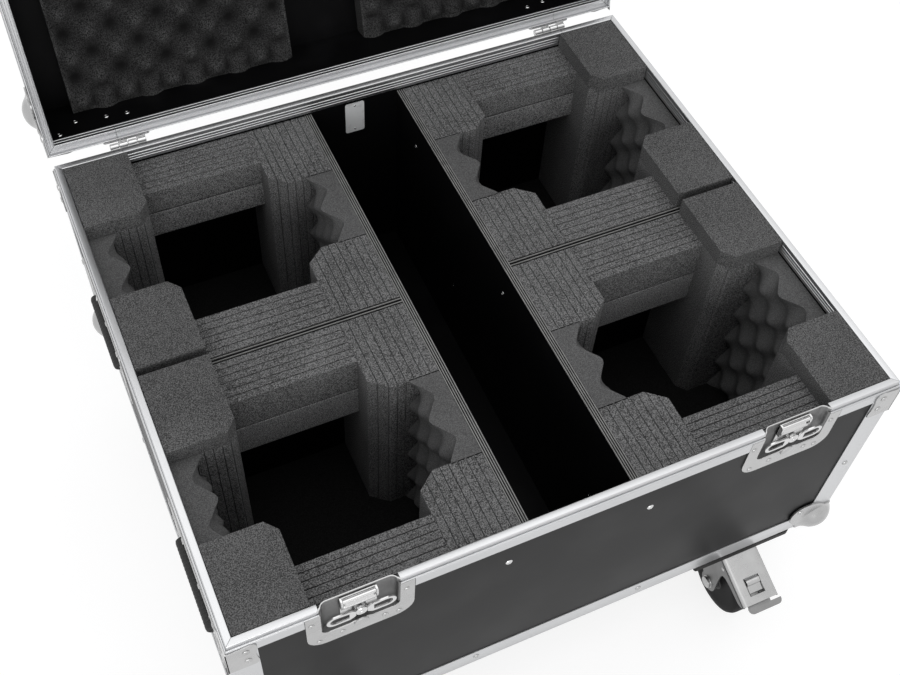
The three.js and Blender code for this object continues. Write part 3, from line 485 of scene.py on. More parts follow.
def ball_corner(shape, side_x, side_y, up, level, finish=0):
    signs = (side_x, side_y, up)
    base = (side_x * HALF_X, side_y * HALF_Y, level)
    for axis, grid in LOBES:
        rows = [[shape.verts.new([start + sign * value for start, sign, value in zip(base, signs, point)])
                 for point in row] for row in grid]
        quads(shape, rows, finish)
        at = [start - sign * PETAL_RIVET for start, sign in zip(base, signs)]
        at[axis] = base[axis] + signs[axis] * BALL_SKIN
        outward = [0, 0, 0]
        outward[axis] = signs[axis]
        rivet(shape, at, outward, finish, 1.1)


for side_x, side_y, label in CORNERS:
    shape = bmesh.new()
    ball_corner(shape, side_x, side_y, -1, CASE_BOTTOM)
    bmesh.ops.remove_doubles(shape, verts=shape.verts, dist=0.02)
    put("pressed_corner_" + label, "case", shape, [ball_steel], ["ball_corner_" + label], crisp=50)
shape = bmesh.new()
angle_frame(shape, LID_TOP, -1, RIM_TOP + 13, LID_TOP, RIM_TOP - 12.5, 1.8)
for side_x, side_y, _ in CORNERS:
    ball_corner(shape, side_x, side_y, 1, LID_TOP, 4)
bmesh.ops.remove_doubles(shape, verts=shape.verts, dist=0.005)
put("lid_angles_and_corners", "lid", shape, edge_finishes, ["lid_edge_frame"], 0.3, True)


# Lone rivets. Split rivets hold the dividers and the hinges' backing strips, and two on the front wall
# hold the channel's end blocks. Their heads are bare aluminium.
shape = bmesh.new()
for x, z in ((-86, 387), (80, 383)):
    rivet(shape, (x, -HALF_Y + 1.5, z), (0, -1, 0))
for side in SIDES:
    for y, z in ((252, 384), (-8, 384), (-250, 300), (120, 250)):
        rivet(shape, (side * 59, y, z), (-side, 0, 0), 0, 0.8)
    rivet(shape, (side * 82, HALF_Y - 1.5, 386), (0, 1, 0))
put("wall_rivets", "case", shape, [bright_steel])
shape = bmesh.new()
for side in SIDES:
    for x, z in ((360, 473), (337, 494), (300, 488), (275, 484)):
        rivet(shape, (side * x, HALF_Y - 8.8, z), (0, -1, 0), 0, 0.85)
put("lid_wall_rivets", "lid", shape, [bright_steel], opened=True)


# Bare plate at the back of the channel. It is thin sheet, lacquered off-white with a clear edge, and
# glued to the wall. Nothing is printed on it.
def lacquer(shade):
    rub = cloud(shade, 160.0, 5.0)
    return {
        "Base Color": mixed(shade, ramp(shade, rub, 0.55, 0.8), (0.66, 0.67, 0.67, 1), grey(0.5)),
        "Roughness": 0.3 + 0.2 * rub,
        "Normal": bumped(shade, rub, 0.05, 0.0003),
    }


def round_loop(half_a, half_b, radius, steps=6):
    """A rectangle with rounded corners: low left, low right, top right, top left."""
    points = []
    for quarter, (sign_a, sign_b) in enumerate(((-1, -1), (1, -1), (1, 1), (-1, 1))):
        middle = (sign_a * (half_a - radius), sign_b * (half_b - radius))
        for step in range(steps + 1):
            angle = math.pi * (1 + quarter / 2) + math.pi / 2 * step / steps
            points.append((middle[0] + radius * math.cos(angle), middle[1] + radius * math.sin(angle)))
    return points


PLATE_BACK = 316.4
PLATE_THICK = 0.8
shape = bmesh.new()
sheet(shape, [round_loop(13, 25, 3)], lambda a, b, h: Vector((a, PLATE_BACK - h, 400 + b)), 0, PLATE_THICK)
for z in (380, 420):
    rivet(shape, (0, PLATE_BACK - PLATE_THICK, z), (0, -1, 0), 1, 0.4)
put("bare_plate", "case", shape, [new_material("off_white_lacquer", lacquer), bright_steel],
    ["label_plate"], 0.2)


# Hinges. Each has two steel leaves that end in knuckles round one pin. The leaves are riveted to the
# rear wall and to the lid, and the rims are cut short beside the barrel.
HINGE_X = 287
KNUCKLES = 4
KNUCKLE_STEP = 11.2
WEB = [(325.4, 0.4), (325.4, 2.2), (331, 4.1), (HINGE_Y, 4.2), (HINGE_Y, 2.6), (329.5, 1.2)]


def hinge_leaf(shape, x, turn):
    back = HALF_Y + (0.3 if turn > 0 else 0)

    def place(a, b, height):
        return Vector((x + a, back + height, HINGE_Z + turn * (24 + b)))

    sheet(shape, [round_loop(29, 24, 4)], place, 0, 2)
    for a in (-20, 0, 20):
        for b in (-2, 14):
            rivet(shape, place(a, b + (4 if a else 0), 2), (0, 1, 0), 0, 0.8)


def knuckle(shape, start, end):
    length = end - start
    profile = [(2.4, 0), (3.8, 0), (4.2, 0.4), (4.2, length - 0.4), (3.8, length), (2.4, length), (2.4, 0)]
    turned(shape, profile, facing((start, HINGE_Y, HINGE_Z), (1, 0, 0)), 20)


for side, label in HANDS:
    x = side * HINGE_X
    for turn, node, body in ((-1, "hinge_leaf_body_", "case"), (1, "hinge_leaf_lid_", "lid")):
        shape = bmesh.new()
        hinge_leaf(shape, x, turn)
        for index in range(0 if turn < 0 else 1, KNUCKLES, 2):
            start = x + (index - KNUCKLES / 2) * KNUCKLE_STEP + 0.25
            knuckle(shape, start + 0.25, start + 10.45)
            extrude(shape, WEB, (start, start + 10.7),
                    lambda y, z, along: Vector((along, y, HINGE_Z + turn * z)))
        if turn > 0:
            pin = [(0, 0), (2.2, 0), (2.2, 44.4), (0, 44.4)]
            turned(shape, pin, facing((x - 22.2, HINGE_Y, HINGE_Z), (1, 0, 0)), 12)
        put(node + "plate_" + label, body, shape, [bright_steel], [node + label], 0.2, turn > 0)


# Side handles. A galvanised dish is pressed into each side wall twice and riveted round its edge. Its
# sprung bail is a bent steel rod with a ribbed rubber grip, and it folds up out of the dish.
HANDLE_X = 378.5
HANDLE_Y = 180
HANDLE_Z = 301
HANDLE_FACE = 1.5
HANDLE_STEPS = [
    (58.6, 38.6, 10, -12), (60.6, 40.6, 12, -11.3), (61.6, 41.6, 13, -9.6), (62.2, 42.2, 14, 0.2),
    (62.8, 42.8, 14.5, 1.1), (63.6, 43.6, 15, 1.5), (84.4, 51.4, 10, 1.5), (85, 52, 10.4, 1),
    (85, 52, 10.4, 0), (64, 44, 15, 0), (63, 43, 14, -1), (63, 43, 14, -12), (61, 41, 12, -13.2),
]
HANDLE_RIVETS = ([(y, z, 0.8) for y in (-74, -28, 28, 74) for z in (-47.8, 47.8)]
                 + [(y, z, 0.9) for y in (-74, 74) for z in (-18, 18)])
EAR = [(0.2, 25), (0.2, 34), (-1, 35), (-12, 35), (-12, 25)]
PIVOT_X, PIVOT_Z = -5, 30
COIL_STEPS = 48
GRIP_OUT = 1.5
GRIP_LOW = -2
GRIP_RIBS = 20
ARM_Y = 46
IDENTITY = Matrix.Identity(4)


def black_rubber(shade):
    dust = cloud(shade, 45.0, 6.0)
    skin = cloud(shade, 1800.0)
    return {
        "Base Color": mixed(shade, ramp(shade, dust, 0.5, 0.8), grey(0.012), grey(0.03)),
        "Roughness": 0.52 + 0.2 * dust,
        "Normal": bumped(shade, skin, 0.2, 0.0002),
    }


def round_bar(shape, points, radius, steps=12, finish=0, place=IDENTITY):
    """A round bar along a path of points, closed at both ends."""
    path = [Vector(point) for point in points]
    rings = []
    side = None
    for index, point in enumerate(path):
        ahead = path[min(index + 1, len(path) - 1)] - path[max(index - 1, 0)]
        ahead.normalize()
        if side is None:
            side = ahead.orthogonal().normalized()
        side = (side - ahead * side.dot(ahead)).normalized()
        other = ahead.cross(side)
        ring = []
        for step in range(steps):
            angle = 2 * math.pi * step / steps
            ring.append(place @ (point + radius * (math.cos(angle) * side + math.sin(angle) * other)))
        rings.append(ring)
    close_rings(shape, rings, finish)


rubber = new_material("black_rubber", black_rubber)
grip = [(0, -57), (4.6, -57), (6.4, -55.6), (7, -53)]
for rib in range(GRIP_RIBS):
    y = -48 + rib * 96 / (GRIP_RIBS - 1)
    grip += [(7, y - 1), (6.5, y - 0.4), (6.5, y + 0.4), (7, y + 1)]
grip += [(7, 53), (6.4, 55.6), (4.6, 57), (0, 57)]
for side, end, label in CORNERS:
    place = (Matrix.Translation((side * HANDLE_X, end * HANDLE_Y, HANDLE_Z))
             @ Matrix.Rotation(0 if side > 0 else math.pi, 4, "Z"))
    outward = place.to_3x3() @ Vector((1, 0, 0))
    shape = bmesh.new()
    rings = [[place @ Vector((x, y, z)) for y, z in round_loop(half_y, half_z, radius)]
             for half_y, half_z, radius, x in HANDLE_STEPS]
    close_rings(shape, rings)
    for y, z, size in HANDLE_RIVETS:
        rivet(shape, place @ Vector((HANDLE_FACE, y, z)), outward, 0, size)
    for way in SIDES:
        for reach in ((49.4, 51), (54.8, 56.2)):
            extrude(shape, EAR, reach, lambda x, z, y: place @ Vector((x, way * y, z)))
        coil = []
        for step in range(COIL_STEPS + 1):
            angle = 2 * math.pi * step / 12
            y = way * (51.3 + 3.2 * step / COIL_STEPS)
            coil.append((PIVOT_X + 3.6 * math.cos(angle), y, PIVOT_Z + 3.6 * math.sin(angle)))
        round_bar(shape, coil, 0.45, 6, 0, place)
    put("handle_pressing_" + label, "case", shape, [pressed_steel], ["handle_dish_" + label], 0.2)
    shape = bmesh.new()
    along_y = place @ Matrix.Translation((GRIP_OUT, 0, GRIP_LOW)) @ Matrix.Rotation(-math.pi / 2, 4, "X")
    turned(shape, grip, along_y, 20)
    for way in SIDES:
        arm = [(PIVOT_X, way * 56, PIVOT_Z), (PIVOT_X, way * 48.5, PIVOT_Z),
               (PIVOT_X + 0.1, way * 46.6, PIVOT_Z - 0.8), (PIVOT_X + 0.4, way * ARM_Y, PIVOT_Z - 3),
               (GRIP_OUT - 0.6, way * ARM_Y, GRIP_LOW + 4), (GRIP_OUT, way * ARM_Y, GRIP_LOW)]
        round_bar(shape, arm, 2.5, 12, 1, place)
    put("handle_bail_" + label, "handle_" + label, shape, [rubber, bright_steel],
        ["handle_grip_" + label], 0)


# Recessed latches. Each is a pressed dish in two halves, one riveted over the body's rim and one over the
# lid's. The body half holds a butterfly key whose cam slides a hook with two rollers onto the lid's catch.
FRONT = -325
LATCH_SKIN = 1.5
BEND = (-32.2, -323.1)
KEY_Z = -30
HOOK_BACK = -316.8
BODY_LATCH_RIVETS = ((-50, -24), (-43.7, -68), (-19.7, -64), (25, -64), (47.6, -24), (40, -67.6))
LID_LATCH_RIVETS = ((-50, 14), (-40, 41), (-14, 42), (14, 42), (40, 41), (50, 14))
HOOK_PLATE = [(-19, -5.5), (-17.5, -4), (17.5, -4), (19, -5.5), (19, -40), (7.2, -40), (7.2, -22.8),
              (-7.2, -22.8), (-7.2, -40), (-19, -40)]
HOOK_SLOT = [(-12, -9.5), (12, -9.5), (12, -12.5), (-12, -12.5)]
HOOK_CHEEK = [(HOOK_BACK, -4), (-321.8, -4), (-323.2, -6), (-323.2, -14), (-321.6, -22), (HOOK_BACK, -22)]
HOOK_HUMP = [(-318.3, -13.2), (-320.6, -13.6), (-322, -15.5), (-322.3, -19), (-321.4, -21.6), (-318.3, -22)]
CATCH = [(HOOK_BACK, 7.5), (-319, 7.5), (-319.2, 8.4), (-319.2, 10.8), (-318.6, 11.4), (HOOK_BACK, 11.4)]


def arc(centre, radius, start, end, steps=6):
    points = []
    for step in range(steps + 1):
        angle = math.radians(start + (end - start) * step / steps)
        points.append((centre[0] + radius * math.cos(angle), centre[1] + radius * math.sin(angle)))
    return points


def both_ways(points):
    """The points on the left, and then on the right in reverse."""
    return points + [(-a, b) for a, b in reversed(points)]


def dish_wall(shape, place, low, high, front, bend, finish):
    """The U-shaped wall of a dish in plan, with its front ends bent outwards over the flange."""
    skins = []
    for radius, edge, lip in ((8, 325.5, ((42.6 + bend, 0.1), (41.4, 0.5), (40.4, 2))),
                              (6.9, 324.3, ((42.6 + bend, -0.9), (40.8, -0.6), (39.4, 0.8)))):
        start = 180 - math.degrees(math.asin((front + edge) / radius))
        left = [(-a, front + b) for a, b in lip] + arc(BEND, radius, start, 90)
        skins.append(both_ways(left))
    extrude(shape, skins[0] + skins[1][::-1], (low, high), place, finish)


def wing_loop(way, points, centre, radius, steps=10):
    """A loop of a key's wing: the same above and below, and round at its tip."""
    below = [(a, -b) for a, b in reversed(points)]
    return [(way * a, b) for a, b in points + arc((centre, 0), radius, 90, -90, steps) + below]


for side, label in HANDS:
    x = side * LATCH_X

    def face_on(a, b, h):
        return Vector((x + a, FRONT - h, RIM_TOP + b))

    def in_plan(a, y, z):
        return Vector((x + a, y, RIM_TOP + z))

    def side_on(y, z, a):
        return Vector((x + a, y, RIM_TOP + z))

    shape = bmesh.new()
    flange = (both_ways([(-56, -8)] + arc((-36, -56), 20, 180, 270))
              + both_ways([(-40.6, -8)] + arc((-33, -44.6), 7.6, 180, 270))[::-1])
    sheet(shape, [flange], face_on, -LATCH_SKIN, 0)
    lip = both_ways([(-33, -52.4), (-12, -52.4), (-8.5, -51)])
    round_bar(shape, [face_on(a, b, -0.3) for a, b in lip], 0.9)
    # The dish's walls below its lip and its floor take the darker zinc, painted shade in the hollow.
    dish_wall(shape, in_plan, -52, -6.2, FRONT + 1, 0, 1)
    dish_wall(shape, in_plan, -6.2, -1.4, FRONT + 2.9, 0.6, 1)
    dish_wall(shape, in_plan, -1.4, 0, FRONT + 2.9, 0.6, 0)
    dish_floor = both_ways([(-39.6, FRONT + 0.3)] + arc(BEND, 7.4, 180, 90))
    sheet(shape, [dish_floor], in_plan, -53.2, -52, 1)
    for a, b in BODY_LATCH_RIVETS:
        rivet(shape, face_on(a, b, 0), (0, -1, 0), 0, 0.85)
    boss = arc((0, 0), 8, 200, -20, 10)
    close_rings(shape, [[face_on(a * wide, b * wide - 56, out) for a, b in boss]
                        for wide, out in ((1, 0), (0.96, 1.4), (0.8, 2.2))])
    put("latch_pressing_" + label, "case", shape, [pressed_steel, painted_shade_steel], ["latch_dish_body_" + label],
        0.22, crisp=42)

    shape = bmesh.new()
    hub = face_on(0, KEY_Z, 2.1)
    turned(shape, [(0, 0), (5.6, 0), (6.6, 0.8), (6.6, 3.4), (5.2, 3.4), (5.2, 10.4), (0, 10.4)],
           facing(hub, (0, 1, 0)), 20)
    turned(shape, [(0, 0.9), (1.8, 0.9), (2.2, 0.4), (3.4, 0)], facing(hub, (0, -1, 0)))
    for way in SIDES:
        wing = wing_loop(way, [(6, 4.4), (9, 7), (12, 8.6), (24, 8.8)], 27.2, 8.8)
        eye = wing_loop(way, [(12.6, 4.6), (24, 5.6)], 26.6, 5.6)
        sheet(shape, [wing, eye], lambda a, b, h: face_on(a, b + KEY_Z, h), 0.4, 2)
        rim = wing_loop(way, [(12, 7.3), (24, 7.5)], 27, 7.5, 12)
        round_bar(shape, [face_on(a, b + KEY_Z, 1.2) for a, b in rim], 0.85, 8)
    put("butterfly_key_" + label, "key_" + label, shape, [bright_steel], ["latch_key_" + label],
        0.15)

    shape = bmesh.new()
    sheet(shape, [HOOK_PLATE, HOOK_SLOT], face_on, FRONT - HOOK_BACK, FRONT - HOOK_BACK + 1.5)
    for way in SIDES:
        extrude(shape, HOOK_CHEEK, (way * 17, way * 19), side_on)
    for drop, radius in ((7, 2.1), (18, 2.2)):
        roll = [(0, 0), (radius - 0.3, 0), (radius, 0.3), (radius, 33.5), (radius - 0.3, 33.8), (0, 33.8)]
        turned(shape, roll, facing(in_plan(-16.9, -321, -drop), (1, 0, 0)))
    extrude(shape, HOOK_HUMP, (-14.5, 14.5), side_on)
    put("sliding_hook_" + label, "hook_" + label, shape, [bright_steel], ["latch_hook_" + label],
        0.15)

    shape = bmesh.new()
    flange = (both_ways([(-56, -4.8), (-40.6, -4.8)] + arc((-33, 26.4), 7.6, 180, 90))
              + both_ways(arc((-36, 30), 20, 180, 90))[::-1])
    sheet(shape, [flange], face_on, -LATCH_SKIN, 0)
    # The lid dish's walls and floor take the darker zinc, painted shade in the hollow.
    dish_wall(shape, in_plan, 0.4, 33, FRONT + 1, 0, 1)
    sheet(shape, [dish_floor], in_plan, 32.8, 34, 1)
    for a, b in LID_LATCH_RIVETS:
        rivet(shape, face_on(a, b, 0), (0, -1, 0), 0, 0.85)
    extrude(shape, CATCH, (-15, 15), side_on)
    put("latch_lid_pressing_" + label, "lid", shape, [pressed_steel, painted_shade_steel], ["latch_dish_lid_" + label],
        0.22, True, 42)


# Dividers. Two long boards with a cross board make the channel and part the nests. Their sawn top edges
# show the plies as thin lines, and the boards stand in housings in the walls.
DIVIDER_X = 59
DIVIDER_END = 316.4
CROSS_END = 371.4
DIVIDER_LOW, DIVIDER_CUT, DIVIDER_TOP = 148.6, 424, 426


def ply_edge(shade):
    grain = cloud(shade, 1.0, 4.0, (90, 90, 90))
    return {
        "Base Color": mixed(shade, grain, (0.13, 0.13, 0.127, 1), (0.34, 0.34, 0.33, 1)),
        "Roughness": 0.5 + 0.2 * grain,
        "Normal": bumped(shade, grain, 0.2, 0.0003),
    }


def block(shape, low, high, finish=0, place=IDENTITY):
    corners = ((low[0], low[1]), (high[0], low[1]), (high[0], high[1]), (low[0], high[1]))
    extrude(shape, corners, (low[2], high[2]), lambda x, y, z: place @ Vector((x, y, z)), finish)


sawn_edge = new_material("sawn_plywood_edge", ply_edge)
for side, label in HANDS:
    shape = bmesh.new()
    plies = [((DIVIDER_X + line, -DIVIDER_END), (DIVIDER_X + line + 1.1, DIVIDER_END))
             for line in (0, 2.63, 5.27, 7.9)]
    cross_plies = [((68.1, line), (CROSS_END, line + 0.8)) for line in (-2.6, 1.8)]
    for low, high, lines in (((DIVIDER_X, -DIVIDER_END), (68, DIVIDER_END), plies),
                             ((68.1, -4.5), (CROSS_END, 4.5), cross_plies)):
        block(shape, (side * low[0], low[1], DIVIDER_LOW), (side * high[0], high[1], DIVIDER_CUT + 0.2))
        for near, far in lines:
            block(shape, (side * near[0], near[1], DIVIDER_CUT), (side * far[0], far[1], DIVIDER_TOP), 1)
    put("divider_" + label, "case", shape, [black_laminate, sawn_edge], ["partition_" + label],
        0.15)


# Foam nests. Each is glued up from dark grey polyethylene foam: posts and rails of sheets of about 9.4 mm
# on edge, solid caps on the outer posts, egg-tray pads on both long sides and a floor pad.
INSERT_TOP = 426
FLOOR_TOP = 168.8
FOAM_LOW = FLOOR_TOP - 0.5
POST_X = 78
POST_Y = 101
POST_STRIPS = 8
INNER_CUT = (22, 18)
OUTER_CUT = (12, 14)
GLUE_GAP = 0.6
HANDLE_ROOM = 6.4
ROOM_LOW, ROOM_HIGH = 257, 345
LATCH_ROOM = 1.6
RAIL_WIDE = 56
RAIL_STRIPS = 6
RAIL_GAP = 0.9
RAIL_LAP = 2
SEAM_HIGH = 1.6
SEAM_DEEP = 54.6
WAVE = 9
END_RIDGE = 0.7


def foam(shade, dark, light, cell, painted_shade_in_dips=False):
    grain = cloud(shade, cell, 3.0)
    patches = cloud(shade, 12.0, 3.0)
    speckle = ramp(shade, grain + 0.12 * patches, 0.45, 0.7)
    # Pointiness darkens the foam in the dips between the peaks: painted shade in the hollows.
    if painted_shade_in_dips:
        curve = shade.node("ShaderNodeNewGeometry", "Pointiness")
        speckle = speckle * ramp(shade, curve, 0.44, 0.56)
    return {
        "Base Color": mixed(shade, speckle, grey(dark), grey(light)),
        "Roughness": 0.86 + 0.1 * grain,
        "Specular IOR Level": 0.15,
        "Normal": bumped(shade, grain, 0.3, 0.0006),
    }


def prism(shape, plan, low, high, finish=0):
    extrude(shape, plan, (low, high), lambda a, b, level: Vector((a, b, level)), finish)


def post_plan(corner_x, corner_y, side_x, toward, cut, start, end):
    """The plan of one sheet of a post: from 'start' to 'end' across it, with the post's corner cut off."""
    def reach(across):
        spare = across - (POST_X - cut[0])
        return POST_Y - (cut[1] * spare / cut[0] if spare > 0 else 0)

    spots = [(start, 0), (end, 0), (end, reach(end))]
    if start < POST_X - cut[0] < end:
        spots.append((POST_X - cut[0], POST_Y))
    spots.append((start, reach(start)))
    return [(corner_x + side_x * across, corner_y + toward * along) for across, along in spots]


def shell(shape, front, rear, finish=0, window=None):
    """Joins two grids of corners along their edges, and round the window if there is one."""
    strips = [(front[0], rear[0]), (front[-1], rear[-1])]
    for column in (0, -1):
        strips.append([[row[column] for row in rows] for rows in (front, rear)])
    if window:
        i, j = window
        ring = ((i, j), (i, j + 1), (i + 1, j + 1), (i + 1, j), (i, j))
        strips.append([[rows[a][b] for a, b in ring] for rows in (front, rear)])
    for rows in (front, rear):
        quads(shape, rows, finish, window)
    for strip in strips:
        quads(shape, strip, finish)


def wavy_grid(shape, size, cells, fine, base, place, back, finish=0, cut_ends=False):
    """An egg-tray pad: 'place' turns (u, v, h) into a point, and 'back' gives the h of its back at v."""
    shift = 0.5 if cut_ends else 0
    count_u, count_v = cells[0] * fine, cells[1] * fine
    front, rear = [], []
    for j in range(count_v + 1):
        v = size[1] * j / count_v
        from_end = min(j, count_v - j) / fine
        front.append([])
        rear.append([])
        for i in range(count_u + 1):
            u = size[0] * i / count_u
            across = math.cos(math.pi * (i / fine - shift))
            ripple = across * math.cos(math.pi * (j / fine - shift))
            ripple *= 0.6 + 0.4 * abs(ripple)
            if cut_ends and from_end < 1:
                ripple = max(ripple, END_RIDGE * across * math.cos(math.pi / 2 * from_end))
            front[-1].append(shape.verts.new(place(u, v, base + WAVE * ripple)))
            rear[-1].append(shape.verts.new(place(u, v, back(v))))
    shell(shape, front, rear, finish)


nest_foams = [
    new_material("foam_sheets_on_edge", foam, 0.034, 0.25, 940.0),
    new_material("foam_solid_block", foam, 0.033, 0.175, 880.0),
    new_material("foam_wall_pad", foam, 0.07, 0.15, 1100.0),
    # A near-black copy of the foam: painted shade on the nests' floor pads, and also the dark glue seams
    # between the rails.
    new_material("foam_painted_shade_floor_and_seams", foam, 0.004, 0.012, 820.0),
    # A lighter copy of the sheet foam: painted light on the faces of the lower rails.
    new_material("foam_lower_rail_painted_light", foam, 0.05, 0.36, 940.0),
]
for side_x, side_y, label in CORNERS:
    inner_x, outer_x, cap_x = side_x * 68.4, side_x * 371.1, side_x * 369.6
    middle_y, end_y, cap_end = side_y * 4.9, side_y * 316.1, side_y * 314.6
    post_x = outer_x - side_x * POST_X
    rail_from, rail_to = sorted((inner_x + side_x * POST_X, post_x))
    shape = bmesh.new()
    # The floor pad, in the near-black foam: painted shade.
    block(shape, (min(inner_x, outer_x), min(middle_y, end_y), 148.9),
          (max(inner_x, outer_x), max(middle_y, end_y), FLOOR_TOP), 3)
    for from_y, cap_y, toward, drop, seam in ((middle_y, middle_y, side_y, 100, 52),
                                              (end_y, cap_end, -side_y, 75, 35)):
        for strip in range(POST_STRIPS):
            start, end = strip * POST_X / POST_STRIPS, (strip + 1) * POST_X / POST_STRIPS - GLUE_GAP
            plan = post_plan(inner_x, from_y, side_x, toward, INNER_CUT, start, end)
            prism(shape, plan, FOAM_LOW, INSERT_TOP)
            lengths = [(FOAM_LOW, INSERT_TOP, 0)] if strip else [
                (FOAM_LOW, ROOM_LOW, 0), (ROOM_HIGH, INSERT_TOP, 0), (ROOM_LOW, ROOM_HIGH, HANDLE_ROOM)]
            for low, high, inset in lengths:
                plan = post_plan(outer_x, from_y, -side_x, toward, OUTER_CUT, start + inset, end)
                prism(shape, plan, low, high)
        post_y = from_y + toward * POST_Y
        cap = [(cap_x, cap_y), (cap_x, post_y), (post_x + side_x * OUTER_CUT[0], post_y),
               (post_x, post_y - toward * OUTER_CUT[1]), (post_x, cap_y)]
        prism(shape, cap, INSERT_TOP + 0.3, RIM_TOP - 0.4, 1)

        def rail_block(near, far, below, above, finish=0):
            low_y, high_y = sorted((from_y + toward * near, from_y + toward * far))
            block(shape, (rail_from - RAIL_LAP, low_y, INSERT_TOP - below),
                  (rail_to + RAIL_LAP, high_y, INSERT_TOP - above), finish)

        for strip in range(RAIL_STRIPS):
            near, far = strip * RAIL_WIDE / RAIL_STRIPS, (strip + 1) * RAIL_WIDE / RAIL_STRIPS - RAIL_GAP
            if strip == 0 and side_y < 0 and from_y == end_y:
                near += LATCH_ROOM
            rail_block(near, far, seam, 0)
            proud = 0.8 if strip == RAIL_STRIPS - 1 else 0
            # The lower rail takes the lighter foam, painted light.
            rail_block(near, far + proud, drop, seam + SEAM_HIGH, 4)
        rail_block(1, SEAM_DEEP, seam + SEAM_HIGH, seam, 3)
    start_y = middle_y + side_y * (POST_Y - 2)
    size = (abs(end_y - middle_y) - 2 * (POST_Y - 2), INSERT_TOP - FOAM_LOW)
    for wall, toward, room in ((inner_x, side_x, 0), (outer_x, -side_x, HANDLE_ROOM)):
        wavy_grid(shape, size, (4, 10), 6, 27,
                  lambda u, v, h: Vector((wall + toward * h, start_y + side_y * u, FOAM_LOW + v)),
                  lambda v: room if 85 < v < 178 else 0, 2)
    nest = put("foam_insert_" + label, "case", shape, nest_foams, ["foam_nest_" + label], 0.4,
               crisp=50)


# Lid pads. Two egg-tray sheets of the same dark foam are glued inside the lid's top, one on each side of
# its middle. They fill it from wall to wall and stop short of its ends.
PAD_SIZE = (285, 632.6)
# A darker copy of the nests' foam: painted shade for the inside of the open lid, with painted shade in its
# dips as well.
egg_foam = new_material("foam_lid_pad_painted_shade", foam, 0.006, 0.085, 760.0, True)
for side, label in HANDS:
    shape = bmesh.new()
    wavy_grid(shape, PAD_SIZE, (10, 22), 7, 24,
              lambda u, v, h: Vector((side * (50 + u), v - PAD_SIZE[1] / 2, LID_TOP - 9.2 - h)),
              lambda v: 0, 0, True)
    pad = put("egg_tray_pad_" + label, "lid", shape, [egg_foam], ["lid_pad_" + label], 0, True, 50)


# Casters. Each is bolted under a black plywood board: a top plate, a ball race, a pressed fork and a
# 100 mm wheel. The front pair has a wide cover on the fork, and a brake pedal that comes out under it.
CASTER_X, CASTER_Y, CASTER_TOP = 264, 272, 128
DOWN = (0, 0, -1)
AXLE = (-46, -78)
FORK_WIDE = 25.5
BOARD_NOTCHED = [(-69, 53), (69, 53), (69, -10), (53, -10), (53, -53), (-69, -53)]
BOLT = [(0, 3.4), (4.2, 3.4), (5, 2.8), (5, 0)]
KING_NUT = [(0, 18.4), (8.6, 18.4), (9.6, 17.6), (9.6, 12.1), (6, 12.1), (6, 0)]
AXLE_NUT = [(0, 5), (6.4, 5), (8, 4), (8, 0.8), (9, 0.7), (9, 0)]
RACE = [(6.3, 3.4), (25, 3.4), (26.8, 4.4), (27, 6.6), (25.4, 8.4), (25, 8.8), (6.3, 8.8), (6.3, 3.4)]
BRAKED_EDGE = [(-50, -6.5), (-112, -28.5), (-110, -31), (-106, -34.4), (-101, -35.4), (-91, -32.8),
               (-82, -30), (-74, -28.6), (-67.5, -27.8), (-62.5, -29.6), (-60, -34), (-59.2, -46),
               (-59.6, -64)]
PLAIN_EDGE = [(-42, -9.7), (-52, -18), (-58, -30), (-59.4, -46), (-59.6, -64)]
BACK_EDGE = [(-15.7, -51.5), (-6, -41), (4, -31), (13.4, -23.4), (21, -16)]
COVER_START, COVER_SLOPE = (0, -50, -4), (-62, -22)
COVER_ARCH = both_ways([(-25.5, -5), (-25.5, -3.2), (-24.4, -1.2), (-22.4, -0.2), (-20, 0), (-11, 0)])
COVER_STATIONS = (0, 6, 33, 56, 62.5, 65.8)
COVER_WINDOW = (2, 5)
TONGUE = [(32, -0.4), (35, 1.6), (40, 2.6), (42.4, 1.8), (43.2, -0.6), (46, -1.6), (52.5, -1.9)]
WHEEL_WIDE = 36
TREAD = [(14, 2.5), (30, 3.2), (36, 2.2), (44, 2.4), (47.6, 4), (49.6, 7.5), (50, 11)]
CORE = [(6.4, 0.2), (10.5, 0.2), (13, 1), (13.5, 2), (20, 4.4), (31, 4.4)]
PEDAL_AXLE, PEDAL_SLOPE = (0, -56, -21), (-65, -16)
PEDAL_WEB = [(-58, -22.4), (-78, -27.4), (-75, -29.4), (-64, -29.4), (-57, -26)]


def painted_ply(shade):
    plies = shade.node("ShaderNodeTexWave", "Fac", {"wave_type": "BANDS", "bands_direction": "Z"},
                       {"Vector": stretched(shade), "Scale": 110.0, "Distortion": 1.2})
    grain = cloud(shade, 1.0, 4.0, (25, 400, 400))
    return {
        "Base Color": mixed(shade, grain, grey(0.004), (0.011, 0.0105, 0.01, 1)),
        "Roughness": 0.5 + 0.2 * grain,
        "Specular IOR Level": 0.2,
        "Normal": bumped(shade, plies + grain, 0.3, 0.0004),
    }


def tyre(shade):
    dust = cloud(shade, 30.0, 6.0)
    return {
        "Base Color": mixed(shade, ramp(shade, dust, 0.45, 0.75), (0.006, 0.006, 0.0065, 1), grey(0.015)),
        "Roughness": 0.5 + 0.25 * dust,
        "Specular IOR Level": 0.15,
        "Normal": bumped(shade, dust, 0.12, 0.0005),
    }


def slanted(place, start, slope):
    """Turns (a, b, h) into a point: a across, b down a slope in the YZ plane, and h square to it."""
    run = Vector((0, *slope)).normalized()
    rise = Vector((0, slope[1], -slope[0])).normalized()
    return lambda a, b, h: place @ (Vector(start) + Vector((a, 0, 0)) + run * b + rise * h)


